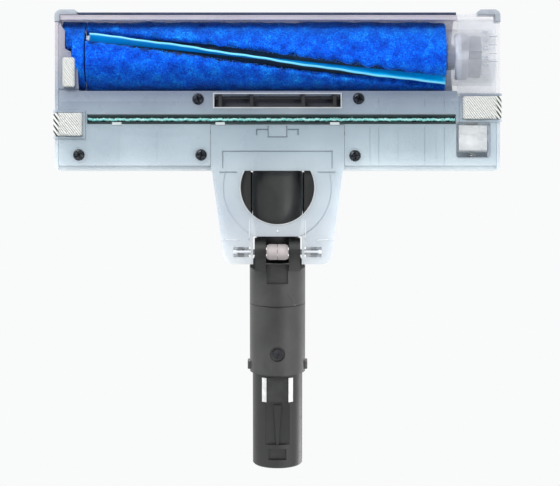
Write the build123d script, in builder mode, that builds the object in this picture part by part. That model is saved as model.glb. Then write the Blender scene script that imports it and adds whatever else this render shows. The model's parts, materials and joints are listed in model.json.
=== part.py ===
"""Motorised soft-roller floor head with a folding neck, in millimetres.

+Z is up and the floor is z = 0. The roller lies along X at the front (-Y), the neck leaves to the rear (+Y).
The origin is the middle of the footprint, on the floor.
"""

from build123d import *
from math import cos, radians, sin
import os

os.makedirs("parts", exist_ok=True)

# Head casing
HEAD_X = 140.0  # half width
LIP_Y = -142.3  # front face below the bumper ledge
FRONT_Y = -144.2  # front face above the ledge
REAR_Y = -45.1
RIM_Z = 3.0
LEDGE_Z = 13.8
CORNER_R = 2.0  # rounding where the side walls meet the crown
WALL = 2.2
SOLE_Z = 2.5
SOLE_T = 2.5
SOLE_TOP = SOLE_Z + SOLE_T
GAP = 0.25  # seam between casing pieces

# Roller and its chamber
ROLLER_Y = -117.3
ROLLER_Z = 23.0
ROLLER_R = 22.5
CORE_R = 12.5
CORE_BORE_R = 11.6
CHAMBER_R = 24.0
CHAMBER_WALL_R = 26.0
CROWN_R = FRONT_Y * -1 + ROLLER_Y  # the casing's front and crown are one arc about the roller
CHAMBER_LEFT = -136.5
ROLLER_LEFT = -121.0
ROLLER_RIGHT = 106.4
END_RING_R = 17.8
CORNER_SEAL_R = 18.4  # inner radius of the fixed plush seal round the end ring
BLADE_START = -39.0  # degrees from straight down, at the left end
BLADE_TWIST = 92.0
BLADE_LEFT = -118.5
OPENING_FRONT_Y = -139.4
OPENING_REAR_Y = -94.6

# End cap
CAP_LEFT = 113.2
CAP_REAR_Y = -91.4
HUB_R = 18.0
HUB_LEFT = 107.5

# Suction mouth and duct
MOUTH_X = 39.8
MOUTH_FRONT_Y = -92.7
MOUTH_REAR_Y = -84.2
DUCT_Z = 19.5
DUCT_R = 13.2
DUCT_BORE_R = 11.8

# Pile strip
PILE_LEFT = -119.5
PILE_RIGHT = 112.0
PILE_FRONT_Y = -79.6
PILE_REAR_Y = -73.9

# Neck cover and yoke
COVER_X = 42.0
COVER_FRONT_Y = -73.2
COVER_REAR_Y = 14.5
LOBE_X = 34.4
D_CENTRE_Y = -33.8
D_R = 23.4
D_FLAT_Y = -44.4
RING_R = 33.9
LOBE_GAP_X = 15.3
SLOT_X = 18.3
YOKE_WALL_X = 20.8
YOKE_TOP_Z = 38.0
FLANK_IN_X = 16.8  # dark plates beside the flexible duct, seen in the opening
FLANK_OUT_X = 25.0
FLANK_TOP_Z = 6.3

# Pitch axis, fork and wheel
PITCH_Y = 6.8
PITCH_Z = 12.0
EAR_R = 9.1
EAR_IN_X = 7.2
EAR_OUT_X = 14.4
PIN_R = 1.75
PIN_IN_X = 11.8
PIN_OUT_X = 27.5
WHEEL_R = 5.0
WHEEL_X = 6.7
AXLE_R = 1.25

# Neck, measured along its own axis from the plane over the pitch axis
NECK_TILT = 9.0
NECK_Z = 24.0
NECK_R = 17.8
NECK_BORE_R = 13.0
NECK_START = 5.4
SWIVEL_AT = 32.5
SLEEVE_R = 15.3
SLEEVE_END = 46.0
TUBE_END = 77.2
SPIGOT_R = 16.0
SPIGOT_ROOT_R = 13.9
SPIGOT_ROOT_AT = 57.0
SPIGOT_BORE_R = 12.4
SPIGOT_END = 138.5
SPIGOT_SEAM = 52.5  # degrees; keeps the outer wall's seam clear of the keyway
NECK_SCREW_AT = 63.2
CONTACT_X = 8.5
CONTACT_SINK = 0.15

SCREW_HEAD_R = 3.3
SCREW_SHANK_R = 1.45
SCREW_SPOTS = [(-49.9, -89.4), (51.1, -89.7), (-124.9, -54.3), (-48.0, -54.3), (48.8, -53.8)]

# Gears in the roller's planetary gearbox
MODULE = 0.4
SUN_TEETH = 12
PLANET_TEETH = 18
RING_TEETH = 48
CARRIER_R = MODULE * (SUN_TEETH + PLANET_TEETH) / 2
GEAR_LEFT = -50.0
GEAR_WIDTH = 6.0

NECK = Plane(
    origin=(0, PITCH_Y, NECK_Z),
    x_dir=(-1, 0, 0),
    z_dir=(0, cos(radians(NECK_TILT)), sin(radians(NECK_TILT))),
)  # local x is -X, local y is up, z runs out along the neck


def roller_plane(x):
    """A plane across the roller axis at x: local x is +Y, local y is +Z."""
    return Plane(origin=(x, ROLLER_Y, ROLLER_Z), x_dir=(0, 1, 0), z_dir=(1, 0, 0))


def save(builder, name):
    """Label the finished piece and write it as a STEP file."""
    builder.part.label = name
    export_step(builder.part, "parts/" + name + ".step")


def tube_along_roller(left, right, outer, inner):
    """A tube, or a rod when inner is 0, about the roller axis."""
    with BuildPart() as tube:
        with BuildSketch(roller_plane(left)):
            Circle(outer)
            if inner:
                Circle(inner, mode=Mode.SUBTRACT)
        extrude(amount=right - left)
    return tube


def casing_outline():
    """The head's side outline on the YZ plane, from the front lip over the crown to the rear."""
    mid = cos(radians(45)) * CROWN_R
    with BuildLine() as outline:
        Polyline(
            (REAR_Y, 30), (REAR_Y, RIM_Z), (LIP_Y, RIM_Z), (LIP_Y, LEDGE_Z),
            (FRONT_Y, LEDGE_Z), (FRONT_Y, ROLLER_Z),
        )
        ThreePointArc(
            (FRONT_Y, ROLLER_Z),
            (ROLLER_Y - mid, ROLLER_Z + mid),
            (ROLLER_Y, ROLLER_Z + CROWN_R),
        )
        back = TangentArc((ROLLER_Y, ROLLER_Z + CROWN_R), (-62, 43.5), tangent=(1, 0))
        TangentArc((-62, 43.5), (REAR_Y, 30), tangent=back % 1)
    return outline


def crown_edges(side_face):
    """The upper edges of a side wall, from the front over the crown to the rear."""
    return side_face.edges().filter_by(lambda edge: edge.center().Z > LEDGE_Z + 1 and edge.length > 5)


def corner_pocket(side):
    """The notch low in a front corner that a corner bumper fills."""
    with BuildPart() as pocket:
        with BuildSketch(Plane.XY) as plan:
            with Locations((side * 140.0, -142.0)):
                Rectangle(6.8, 8.2)
        extrude(plan.sketch, amount=LEDGE_Z)
    return pocket


# ---------------------------------------------------------------- top cover and yoke
with BuildPart() as yoke:
    with BuildSketch(Plane.XY.offset(SOLE_TOP + 0.3)):
        with BuildLine():
            Polyline(
                (-41.3, REAR_Y - 1), (-LOBE_X, PITCH_Y), (-LOBE_X, COVER_REAR_Y),
                (LOBE_X, COVER_REAR_Y), (LOBE_X, PITCH_Y), (41.3, REAR_Y - 1),
                (-41.3, REAR_Y - 1),
            )
        make_face()
    extrude(amount=40)
    fillet(yoke.edges().filter_by(Axis.Z).group_by(Axis.Y)[-1], 6.5)
    with BuildSketch(Plane.YZ):
        with BuildLine():
            Polyline(
                (REAR_Y - 1, YOKE_TOP_Z), (REAR_Y - 1, 5), (COVER_REAR_Y, 5), (COVER_REAR_Y, 18)
            )
            Spline(
                (COVER_REAR_Y, 18), (8, 28.5), (REAR_Y - 1, YOKE_TOP_Z),
                tangents=[(-0.2, 1), (-1, 0.1)],
            )
        make_face()
    extrude(amount=50, both=True, mode=Mode.INTERSECT)
    # hollow, leaving an outer shell, and walls beside the slot
    with BuildSketch(Plane.XY):
        with BuildLine():
            Polyline(
                (YOKE_WALL_X, REAR_Y - 2), (YOKE_WALL_X, 12.3), (LOBE_X - 4, 12.3),
                (LOBE_X - 2.2, 9), (LOBE_X - 2.2, PITCH_Y), (39.1, REAR_Y - 2),
                (YOKE_WALL_X, REAR_Y - 2),
            )
        make_face()
        mirror(about=Plane.YZ)
    extrude(amount=24, mode=Mode.SUBTRACT)
    with BuildSketch(Plane.XY):
        with Locations((0, 0)):
            Rectangle(2 * SLOT_X, 120)
    extrude(amount=60, mode=Mode.SUBTRACT)
    # room for the plates beside the flexible duct
    with BuildSketch(Plane.XY):
        with Locations((0, -27)):
            Rectangle(2 * FLANK_OUT_X + 0.4, 37)
    extrude(amount=FLANK_TOP_Z + 0.05, mode=Mode.SUBTRACT)
    # ribs that carry the pitch pins, and the pins' bores
    with BuildSketch(Plane.XY.offset(SOLE_TOP + 0.3)):
        with Locations((26.2, PITCH_Y), (-26.2, PITCH_Y)):
            Rectangle(2.2, 11)
    extrude(amount=19)
    with BuildSketch(Plane.YZ):
        with Locations((PITCH_Y, PITCH_Z)):
            Circle(PIN_R + 0.01)
    extrude(amount=30, both=True, mode=Mode.SUBTRACT)

with BuildPart() as top_cover:
    with BuildSketch(Plane.YZ):
        add(casing_outline().line)
        make_face()
    extrude(amount=HEAD_X, both=True)
    # roller chamber, and its opening to the floor
    with BuildSketch(roller_plane(CHAMBER_LEFT)):
        Circle(CHAMBER_R)
    extrude(amount=2 * HEAD_X, mode=Mode.SUBTRACT)
    with BuildSketch(Plane.XY):
        with BuildLine():
            Polyline(
                (CHAMBER_LEFT, OPENING_REAR_Y), (CHAMBER_LEFT, OPENING_FRONT_Y),
                (HEAD_X, OPENING_FRONT_Y), (HEAD_X, OPENING_REAR_Y),
                (CHAMBER_LEFT, OPENING_REAR_Y),
            )
        make_face()
    extrude(amount=ROLLER_Z, mode=Mode.SUBTRACT)
    # rear cavity behind the chamber wall
    with BuildSketch(Plane.YZ):
        with BuildLine():
            Line((ROLLER_Y + CHAMBER_WALL_R, 0), (ROLLER_Y + CHAMBER_WALL_R, ROLLER_Z))
            arc = CenterArc((ROLLER_Y, ROLLER_Z), CHAMBER_WALL_R, 0, 50)
            Polyline(
                arc @ 1, (-98, 45.2), (-88, 45.2), (-64, 41.4), (-52, 34.5), (REAR_Y - WALL, 28),
                (REAR_Y - WALL, 0), (ROLLER_Y + CHAMBER_WALL_R, 0),
            )
        make_face()
    extrude(amount=HEAD_X - WALL, both=True, mode=Mode.SUBTRACT)
    # seat of the sole plate
    with BuildSketch(Plane.XY):
        with Locations((0, (OPENING_REAR_Y + REAR_Y) / 2)):
            Rectangle(2 * (HEAD_X - WALL), REAR_Y - WALL - OPENING_REAR_Y + 4.4)
        with Locations((-131, -117)):
            Rectangle(13.6, 44)
    extrude(amount=SOLE_TOP + 0.05, mode=Mode.SUBTRACT)
    # screw pillars
    for x, y in SCREW_SPOTS:
        with BuildSketch(Plane.XY.offset(18.2)):
            with Locations((x, y)):
                Circle(3.4)
        extrude(amount=28 if y < -70 else 18)
    with Locations(*[(x, y, 23) for x, y in SCREW_SPOTS]):
        Cylinder(SCREW_SHANK_R + 0.02, 12, mode=Mode.SUBTRACT)
    # the end cap takes the front right corner
    with BuildSketch(Plane.XY):
        with Locations((CAP_LEFT - GAP, CAP_REAR_Y + GAP)):
            Rectangle(60, 80, align=(Align.MIN, Align.MAX))
    extrude(amount=70, mode=Mode.SUBTRACT)
    add(corner_pocket(-1).part, mode=Mode.SUBTRACT)
    # rounded edges where the side walls meet the crown
    for end in (0, -1):
        side_face = top_cover.faces().filter_by(Axis.X).sort_by(Axis.X)[end]
        fillet(crown_edges(side_face), CORNER_R)
    # yoke, with a hole for the duct in the wall before it
    add(yoke.part)
    with BuildSketch(Plane.XZ.offset(-REAR_Y - 4)):
        with Locations((0, DUCT_Z)):
            Circle(DUCT_R + 0.3)
    extrude(amount=20, mode=Mode.SUBTRACT)
    # the neck cover's plate passes under the rear wall
    with BuildSketch(Plane.XY):
        with Locations((0, REAR_Y - 1)):
            Rectangle(2 * COVER_X + 0.6, 6)
    extrude(amount=SOLE_TOP + 0.3, mode=Mode.SUBTRACT)
save(top_cover, "top_cover")

# ---------------------------------------------------------------- sole plate
with BuildPart() as sole_plate:
    with BuildSketch(Plane.XY.offset(SOLE_Z)):
        with BuildLine():
            Polyline(
                (-137.5, REAR_Y - WALL - 0.2), (-137.5, -136.0), (-136.4, -136.0), (-133.7, -132.5),
                (-133.7, -121.2), (-127.1, -117.7), (-126.3, -116.7), (-124.9, OPENING_REAR_Y),
                (CAP_LEFT - GAP, OPENING_REAR_Y), (CAP_LEFT - GAP, CAP_REAR_Y + GAP),
                (137.5, CAP_REAR_Y + GAP), (137.5, REAR_Y - WALL - 0.2),
                (-137.5, REAR_Y - WALL - 0.2),
            )
        make_face()
        with Locations((0, (MOUTH_FRONT_Y + MOUTH_REAR_Y) / 2)):
            Rectangle(2 * MOUTH_X, MOUTH_REAR_Y - MOUTH_FRONT_Y, mode=Mode.SUBTRACT)
        with Locations(((PILE_LEFT + PILE_RIGHT) / 2, (PILE_FRONT_Y + PILE_REAR_Y) / 2)):
            Rectangle(
                PILE_RIGHT - PILE_LEFT + 0.4, PILE_REAR_Y - PILE_FRONT_Y + 0.4, mode=Mode.SUBTRACT
            )
        with Locations((0, COVER_FRONT_Y - GAP)):
            Rectangle(2 * (COVER_X + GAP), 60, align=(Align.CENTER, Align.MIN), mode=Mode.SUBTRACT)
        with Locations((123.2, -63.8)):
            RectangleRounded(21.6, 23.2, 2.5, mode=Mode.SUBTRACT)
    extrude(amount=SOLE_T)
    # the strip beside the roller opening slopes up to its edge
    with BuildSketch(Plane.YZ):
        with BuildLine():
            Polyline((-96, 2), (-88, 2), (-88, SOLE_Z), (OPENING_REAR_Y, 3.6), (-96, 3.8), (-96, 2))
        make_face()
    extrude(amount=HEAD_X, both=True, mode=Mode.SUBTRACT)
    # bars across the suction mouth
    with BuildSketch(Plane.XY.offset(3.4)):
        with Locations(*[(x, (MOUTH_FRONT_Y + MOUTH_REAR_Y) / 2) for x in (-36, -16.25, 16.25, 36)]):
            Rectangle(2.2, MOUTH_REAR_Y - MOUTH_FRONT_Y + 0.4)
    extrude(amount=SOLE_TOP - 3.4)
    # screw bosses with their counterbores
    with BuildSketch(Plane.XY.offset(SOLE_TOP - 0.1)):
        with Locations(*SCREW_SPOTS):
            Circle(4.1)
    extrude(amount=13)
    with Locations(*[(x, y, SOLE_Z) for x, y in SCREW_SPOTS]):
        Cylinder(3.7, 4.4, mode=Mode.SUBTRACT)
        Cylinder(SCREW_SHANK_R + 0.02, 60, mode=Mode.SUBTRACT)
    # the bosses by the roller chamber are cut flat where its wall passes
    with Locations((0, -100, SOLE_TOP + 0.05)):
        Box(130, 17.8, 20, align=(Align.CENTER, Align.CENTER, Align.MIN), mode=Mode.SUBTRACT)
    # raised rings round the rear screws
    with BuildSketch(Plane.XY.offset(SOLE_Z)):
        with Locations(*[(x, y) for x, y in SCREW_SPOTS if y > -70]):
            Circle(5.3)
            Circle(4.7, mode=Mode.SUBTRACT)
    extrude(amount=-0.25)
    # shallow grooves across the rear right of the plate
    with BuildSketch(Plane.XY.offset(SOLE_Z)):
        with Locations(*[(x, -59.6) for x in (58.2, 63.7, 92.6, 105.0)]):
            Rectangle(0.6, 24)
        with Locations((105.0, -88.5), (63.7, -88.5), (92.6, -88.5)):
            Rectangle(0.6, 8)
    extrude(amount=0.35, mode=Mode.SUBTRACT)
    # ribs inside, along and across the plate
    for x in (-100, -76, 76, 100):
        with BuildSketch(Plane.XY.offset(SOLE_TOP - 0.1)):
            with Locations((x, -60)):
                Rectangle(1.4, 20)
        extrude(amount=4)
save(sole_plate, "sole_plate")

# ---------------------------------------------------------------- neck cover
with BuildPart() as neck_cover:
    with BuildSketch(Plane.XY.offset(SOLE_Z)) as cover_plan:
        with BuildLine():
            Polyline(
                (-COVER_X, COVER_FRONT_Y), (-COVER_X, REAR_Y + 0.3), (-41.3, REAR_Y + 0.3),
                (-LOBE_X, PITCH_Y), (-LOBE_X, COVER_REAR_Y), (LOBE_X, COVER_REAR_Y),
                (LOBE_X, PITCH_Y), (41.3, REAR_Y + 0.3), (COVER_X, REAR_Y + 0.3),
                (COVER_X, COVER_FRONT_Y), (-COVER_X, COVER_FRONT_Y),
            )
        make_face()
        fillet(cover_plan.vertices().group_by(Axis.Y)[-1], 6.5)
        with Locations((0, COVER_REAR_Y)):
            Rectangle(2 * LOBE_GAP_X, 2 * 17.5, mode=Mode.SUBTRACT)
        # slots that show the pitch pins
        with Locations((22.3, PITCH_Y), (-22.3, PITCH_Y)):
            Rectangle(10.6, 6.4, mode=Mode.SUBTRACT)
    extrude(amount=SOLE_T)
    # opening under the duct: a circle with a flat front
    with BuildSketch(Plane.XY):
        with Locations((0, D_CENTRE_Y)):
            Circle(D_R)
        with Locations((0, D_FLAT_Y)):
            Rectangle(80, 40, align=(Align.CENTER, Align.MAX), mode=Mode.SUBTRACT)
    extrude(amount=10, mode=Mode.SUBTRACT)
    # recessed panel before the opening, with a groove along its front and sides
    with BuildSketch(Plane.XY.offset(SOLE_Z)):
        with Locations((0, -51.4)):
            RectangleRounded(69.6, 11.2, 1.0)
    extrude(amount=0.4, mode=Mode.SUBTRACT)
    with BuildSketch(Plane.XY.offset(SOLE_Z)):
        with Locations((0, -56.6)):
            Rectangle(69.6, 0.8)
        with Locations((34.4, -51.4), (-34.4, -51.4)):
            Rectangle(0.8, 11.0)
    extrude(amount=1.3, mode=Mode.SUBTRACT)
    # ring line about the opening, only on the plate
    with BuildSketch(Plane.XY.offset(SOLE_Z)):
        with Locations((0, D_CENTRE_Y)):
            Circle(RING_R + 0.4)
            Circle(RING_R - 0.4, mode=Mode.SUBTRACT)
        with Locations((0, REAR_Y + 1)):
            Rectangle(120, 60, align=(Align.CENTER, Align.MAX), mode=Mode.SUBTRACT)
    extrude(amount=0.6, mode=Mode.SUBTRACT)
    # groove round the snap tab at the front edge, brackets beside it, short slots before the ring
    with BuildSketch(Plane.XY.offset(SOLE_Z)):
        with Locations((0, -65.6)):
            Rectangle(12.4, 0.7)
        for side in (-1, 1):
            with Locations((side * 5.9, -69.1)):
                Rectangle(0.6, 7.4)
            with Locations((side * 9.6, -70.3)):
                Rectangle(7.0, 0.9)
            with Locations((side * 13.0, -68.8)):
                Rectangle(0.9, 3.9)
            with Locations((side * 31, -43.4)):
                Rectangle(11, 0.9)
    extrude(amount=1.4, mode=Mode.SUBTRACT)
    # thin moulded ribs: beside the pins' lobes and along the slot
    with BuildSketch(Plane.XY.offset(SOLE_Z)):
        for side in (-1, 1):
            with Locations((side * 30, -0.6)):
                Rectangle(11.5, 0.5)
            with Locations((side * 17.6, -7)):
                Rectangle(0.6, 13)
    extrude(amount=-0.3)
save(neck_cover, "neck_cover")

# ---------------------------------------------------------------- end cap, off to the right
with BuildPart() as end_cap:
    with BuildSketch(Plane.YZ.offset(CAP_LEFT)):
        add(casing_outline().line)
        make_face()
    extrude(amount=HEAD_X - CAP_LEFT)
    with BuildSketch(Plane.XY):
        with Locations((CAP_LEFT - 1, CAP_REAR_Y)):
            Rectangle(60, 80, align=(Align.MIN, Align.MIN))
    extrude(amount=70, mode=Mode.SUBTRACT)
    # cavity
    with BuildSketch(Plane.YZ.offset(CAP_LEFT - 1)):
        with BuildLine():
            Line((LIP_Y + 3, SOLE_TOP + 0.2), (CAP_REAR_Y - WALL, SOLE_TOP + 0.2))
            Line((CAP_REAR_Y - WALL, SOLE_TOP + 0.2), (CAP_REAR_Y - WALL, 44.5))
            Line((CAP_REAR_Y - WALL, 44.5), (ROLLER_Y, ROLLER_Z + CHAMBER_R))
            half = cos(radians(45)) * CHAMBER_R
            ThreePointArc(
                (ROLLER_Y, ROLLER_Z + CHAMBER_R),
                (ROLLER_Y - half, ROLLER_Z + half),
                (ROLLER_Y - CHAMBER_R, ROLLER_Z),
            )
            Polyline(
                (ROLLER_Y - CHAMBER_R, ROLLER_Z), (ROLLER_Y - CHAMBER_R, LEDGE_Z + 2),
                (LIP_Y + 3, LEDGE_Z), (LIP_Y + 3, SOLE_TOP + 0.2),
            )
        make_face()
    extrude(amount=HEAD_X - WALL - CAP_LEFT + 1, mode=Mode.SUBTRACT)
    # hub that reaches into the roller chamber, with the bearing's seat
    with BuildSketch(roller_plane(HUB_LEFT)):
        Circle(HUB_R)
    extrude(amount=HEAD_X - 1 - HUB_LEFT)
    with BuildSketch(roller_plane(HUB_LEFT + 9)):
        Circle(HUB_R - 2)
    extrude(amount=HEAD_X - WALL - HUB_LEFT - 9, mode=Mode.SUBTRACT)
    with BuildSketch(roller_plane(HUB_LEFT)):
        Circle(8.05)
    extrude(amount=6, mode=Mode.SUBTRACT)
    with BuildSketch(roller_plane(HUB_LEFT)):
        Circle(5)
    extrude(amount=20, mode=Mode.SUBTRACT)
    # slot for the latch tongue in the rear wall, open to the left
    with BuildSketch(Plane.XZ.offset(-CAP_REAR_Y - 1)):
        with Locations((127.5, 7.4)):
            Rectangle(16, 4.2, align=(Align.MAX, Align.CENTER))
    extrude(amount=6, mode=Mode.SUBTRACT)
    add(corner_pocket(1).part, mode=Mode.SUBTRACT)
    fillet(crown_edges(end_cap.faces().filter_by(Axis.X).sort_by(Axis.X)[-1]), CORNER_R)
    # short ribs at the outer edge of its underside
    with BuildSketch(Plane.XY.offset(SOLE_Z)):
        with Locations(*[(134.6, y) for y in (-127.8, -122.4, -113.9, -109.8, -102.2)]):
            Rectangle(5.6, 1.1)
    extrude(amount=1)
save(end_cap, "end_cap")

save(tube_along_roller(HUB_LEFT + 0.3, HUB_LEFT + 5.3, 8.0, 3.05), "end_cap_bearing")

# ---------------------------------------------------------------- latch and spring
with BuildPart() as roller_latch:
    with BuildSketch(Plane.YZ.offset(114.1)):
        with BuildLine():
            Polyline((-73.2, 5.6), (-73.2, 4.6), (-70.5, 3.2))
            Spline((-70.5, 3.2), (-65.5, 4.6), (-60.5, 2.9), tangents=[(1, 0), (1, 0)])
            Polyline(
                (-60.5, 2.9), (-57.4, 3.2), (-56.6, 4.4), (-56.6, 11.5), (-59, 11.5), (-60.5, 6.4),
                (-65, 7.4), (-73.2, 8.6), (-73.2, 5.6),
            )
        make_face()
    extrude(amount=17.8)
    with BuildSketch(Plane.XY.offset(6.2)):
        with BuildLine():
            Polyline((119.4, -72), (119.4, -93.4), (126.6, -93.4), (126.6, -72), (119.4, -72))
        make_face()
    extrude(amount=2.3)
save(roller_latch, "roller_latch")

with BuildPart() as latch_spring:
    with BuildLine() as coil_line:
        Helix(pitch=1.7, height=8.3, radius=2.0, center=(123, -56.1, 8.6), direction=(0, 1, 0))
    with BuildSketch(Plane(origin=coil_line.line @ 0, z_dir=coil_line.line % 0)):
        Circle(0.28)
    sweep(is_frenet=True)
save(latch_spring, "latch_spring")

# ---------------------------------------------------------------- bumpers
with BuildPart() as front_strip:
    with BuildSketch(Plane.XY.offset(4.0)):
        with BuildLine():
            Polyline(
                (-125.6, LIP_Y - 0.05), (-125.6, -143.9), (112.4, -143.9), (112.4, LIP_Y - 0.05),
                (-125.6, LIP_Y - 0.05),
            )
        make_face()
    extrude(amount=9.5)
    fillet(front_strip.edges().group_by(Axis.Y)[0].filter_by(Axis.X), 0.6)
save(front_strip, "front_strip")


def corner_bumper(side):
    """A soft L round a front corner of the casing."""
    with BuildPart() as bumper:
        with BuildSketch(Plane.XY.offset(RIM_Z + 0.2)) as plan:
            with BuildLine():
                Polyline(
                    (side * 126.0, LIP_Y - 0.1), (side * 126.0, -144.6), (side * 128.0, -146.0),
                    (side * 140.4, -146.0), (side * 140.4, -138.1), (side * 136.8, -138.1),
                    (side * 136.8, LIP_Y - 0.1), (side * 126.0, LIP_Y - 0.1),
                )
            make_face()
            corner = plan.vertices().group_by(Axis.Y)[0].sort_by(Axis.X)
            fillet(corner[-1] if side > 0 else corner[0], 4.0)
        extrude(amount=LEDGE_Z - RIM_Z - 0.4)
        fillet(bumper.edges().group_by(Axis.Z)[0], 0.8)
        fillet(bumper.edges().group_by(Axis.Z)[-1], 0.8)
    return bumper


save(corner_bumper(-1), "corner_bumper_left")
save(corner_bumper(1), "corner_bumper_right")


# ---------------------------------------------------------------- glide pads
def side_pad(side, inner_x, front_y, rear_y):
    """A low pad under the casing that turns up over its side wall."""
    with BuildPart() as pad:
        with BuildSketch(Plane.XZ.offset(-rear_y)):
            with BuildLine():
                Polyline(
                    (side * inner_x, 0.5), (side * (inner_x + 1.4), 0), (side * 139.6, 0),
                    (side * 141.0, 1.4), (side * 141.0, 13), (side * 140.1, 13),
                    (side * 140.1, 2.4), (side * inner_x, 2.4), (side * inner_x, 0.5),
                )
            make_face()
        extrude(amount=rear_y - front_y)
    return pad


save(side_pad(-1, 122.3, -80.7, -66.1), "glide_pad_left")
save(side_pad(1, 116.2, -91.2, -76.7), "glide_pad_right")

with BuildPart() as glide_pad_small:
    with BuildSketch(Plane.XY) as small_plan:
        with BuildLine():
            Polyline(
                (-135.1, -115.5), (-135.1, -96.8), (-129.6, -96.8), (-127.1, -100.5),
                (-127.1, -115.5), (-135.1, -115.5),
            )
        make_face()
        fillet(small_plan.vertices(), 1.6)
    extrude(amount=2.45)
    fillet(glide_pad_small.edges().group_by(Axis.Z)[0], 0.6)
save(glide_pad_small, "glide_pad_small")

# ---------------------------------------------------------------- pile strip
PILE_MID_X = (PILE_LEFT + PILE_RIGHT) / 2
PILE_MID_Y = (PILE_FRONT_Y + PILE_REAR_Y) / 2
with BuildPart() as pile_carrier:
    with BuildSketch(Plane.XY.offset(2.2)):
        with Locations((PILE_MID_X, PILE_MID_Y)):
            Rectangle(PILE_RIGHT - PILE_LEFT, PILE_REAR_Y - PILE_FRONT_Y)
    extrude(amount=4.6)
    with BuildSketch(Plane.XY.offset(2.2)):
        with Locations((PILE_MID_X, PILE_MID_Y)):
            Rectangle(PILE_RIGHT - PILE_LEFT + 1, 3.2)
    extrude(amount=2.8, mode=Mode.SUBTRACT)
save(pile_carrier, "pile_carrier")

with BuildPart() as pile_strip:
    with BuildSketch(Plane.XY):
        with Locations((PILE_MID_X, PILE_MID_Y)):
            Rectangle(PILE_RIGHT - PILE_LEFT - 0.4, 3.0)
    extrude(amount=4.9)
save(pile_strip, "pile_strip")

# ---------------------------------------------------------------- screws
with BuildPart() as sole_screws:
    with Locations(*[(x, y, 2.6) for x, y in SCREW_SPOTS]):
        Cylinder(SCREW_HEAD_R, 2.0, align=(Align.CENTER, Align.CENTER, Align.MIN))
        Cylinder(SCREW_SHANK_R, 21.0, align=(Align.CENTER, Align.CENTER, Align.MIN))
        Box(3.8, 0.9, 2.4, mode=Mode.SUBTRACT)
        Box(0.9, 3.8, 2.4, mode=Mode.SUBTRACT)
save(sole_screws, "sole_screws")

# ---------------------------------------------------------------- suction duct
with BuildPart() as suction_duct:
    with BuildSketch(Plane.YZ):
        with BuildLine():
            Polyline(
                (-91.0, 5.1), (-91.0, 28), (-84, 33.5), (-62, 34.2), (-62, 5.6),
                (-72, 5.6), (-72, 7.2), (-82.5, 7.2), (-82.5, 5.1), (-91.0, 5.1),
            )
        make_face()
    extrude(amount=41.6, both=True)
    with BuildSketch(Plane.YZ):
        with BuildLine():
            Polyline(
                (-89.6, 5.0), (-89.6, 27.4), (-83.4, 32), (-63.6, 32.7), (-63.6, 8.6),
                (-84.1, 8.6), (-84.1, 5.0), (-89.6, 5.0),
            )
        make_face()
    extrude(amount=40.0, both=True, mode=Mode.SUBTRACT)
    with BuildSketch(Plane.XZ.offset(62.5)):
        with Locations((0, DUCT_Z)):
            Circle(DUCT_R)
    extrude(amount=-(62.5 + REAR_Y - 0.2))
    with BuildSketch(Plane.XZ.offset(66)):
        with Locations((0, DUCT_Z)):
            Circle(DUCT_BORE_R)
    extrude(amount=-30, mode=Mode.SUBTRACT)
save(suction_duct, "suction_duct")

with BuildPart() as duct_seal:
    with BuildSketch(Plane.XZ.offset(61.8)):
        with Locations((0, DUCT_Z)):
            Circle(DUCT_R + 1.2)
            Circle(DUCT_R + 0.05, mode=Mode.SUBTRACT)
    extrude(amount=-2.0)
save(duct_seal, "duct_seal")

with BuildPart() as flex_duct:
    with BuildSketch(Plane.XZ.offset(44.7)):
        with Locations((0, 21.7)):
            Circle(16.1)
    with BuildSketch(Plane.XZ.offset(20)):
        with Locations((0, 23)):
            Circle(16.1)
    with BuildSketch(Plane.XZ.offset(-4)):
        with Locations((0, 24.4)):
            Circle(12.3)
    loft()
    with BuildSketch(Plane.XZ.offset(45)):
        with Locations((0, 21.7)):
            Circle(14.5)
    with BuildSketch(Plane.XZ.offset(20)):
        with Locations((0, 23)):
            Circle(14.5)
    with BuildSketch(Plane.XZ.offset(-4.2)):
        with Locations((0, 24.4)):
            Circle(10.8)
    loft(mode=Mode.SUBTRACT)
save(flex_duct, "flex_duct")

with BuildPart() as duct_flanks:
    # plates that close the neck cover's opening on both sides of the flexible duct
    with BuildSketch(Plane.XY.offset(SOLE_TOP + 0.1)):
        with Locations((0, D_CENTRE_Y)):
            Circle(FLANK_OUT_X)
        Rectangle(2 * FLANK_IN_X, 200, mode=Mode.SUBTRACT)
        with Locations((0, REAR_Y + 0.5)):
            Rectangle(80, 40, align=(Align.CENTER, Align.MAX), mode=Mode.SUBTRACT)
    extrude(amount=FLANK_TOP_Z - SOLE_TOP - 0.1)
save(duct_flanks, "duct_flanks")

# ---------------------------------------------------------------- electronics in the head
with BuildPart() as circuit_board:
    with Locations((80, -64, 11)):
        Box(38, 16, 1.6)
    with Locations((68, -64, 13.8), (80, -66, 13.8)):
        Box(7, 8, 4)
    with Locations((92, -63, 15.8)):
        Cylinder(3.2, 8)
save(circuit_board, "circuit_board")

LEAD_ROUTE = [(60.4, -64, 14), (57, -64.5, 20), (52, -67, 31), (38, -71, 37.5), (14, -72.5, 38.6),
              (-14, -72, 38.4), (-38, -71, 37.2), (-60, -69, 31), (-88, -68, 25), (-112, -72, 22),
              (-128, -80, 21.5), (-133, -90.7, 22)]


def lead_radii(points):
    """The largest arc that each corner's two runs leave room for."""
    radii = []
    for before, at, after in zip(points, points[1:], points[2:]):
        into = Vector(*at) - Vector(*before)
        out = Vector(*after) - Vector(*at)
        turn = radians(into.get_angle(out))
        radii.append(0.45 * min(into.length, out.length) / (sin(turn / 2) / cos(turn / 2)))
    print("motor lead radii", [round(radius, 1) for radius in radii])
    return radii


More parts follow.
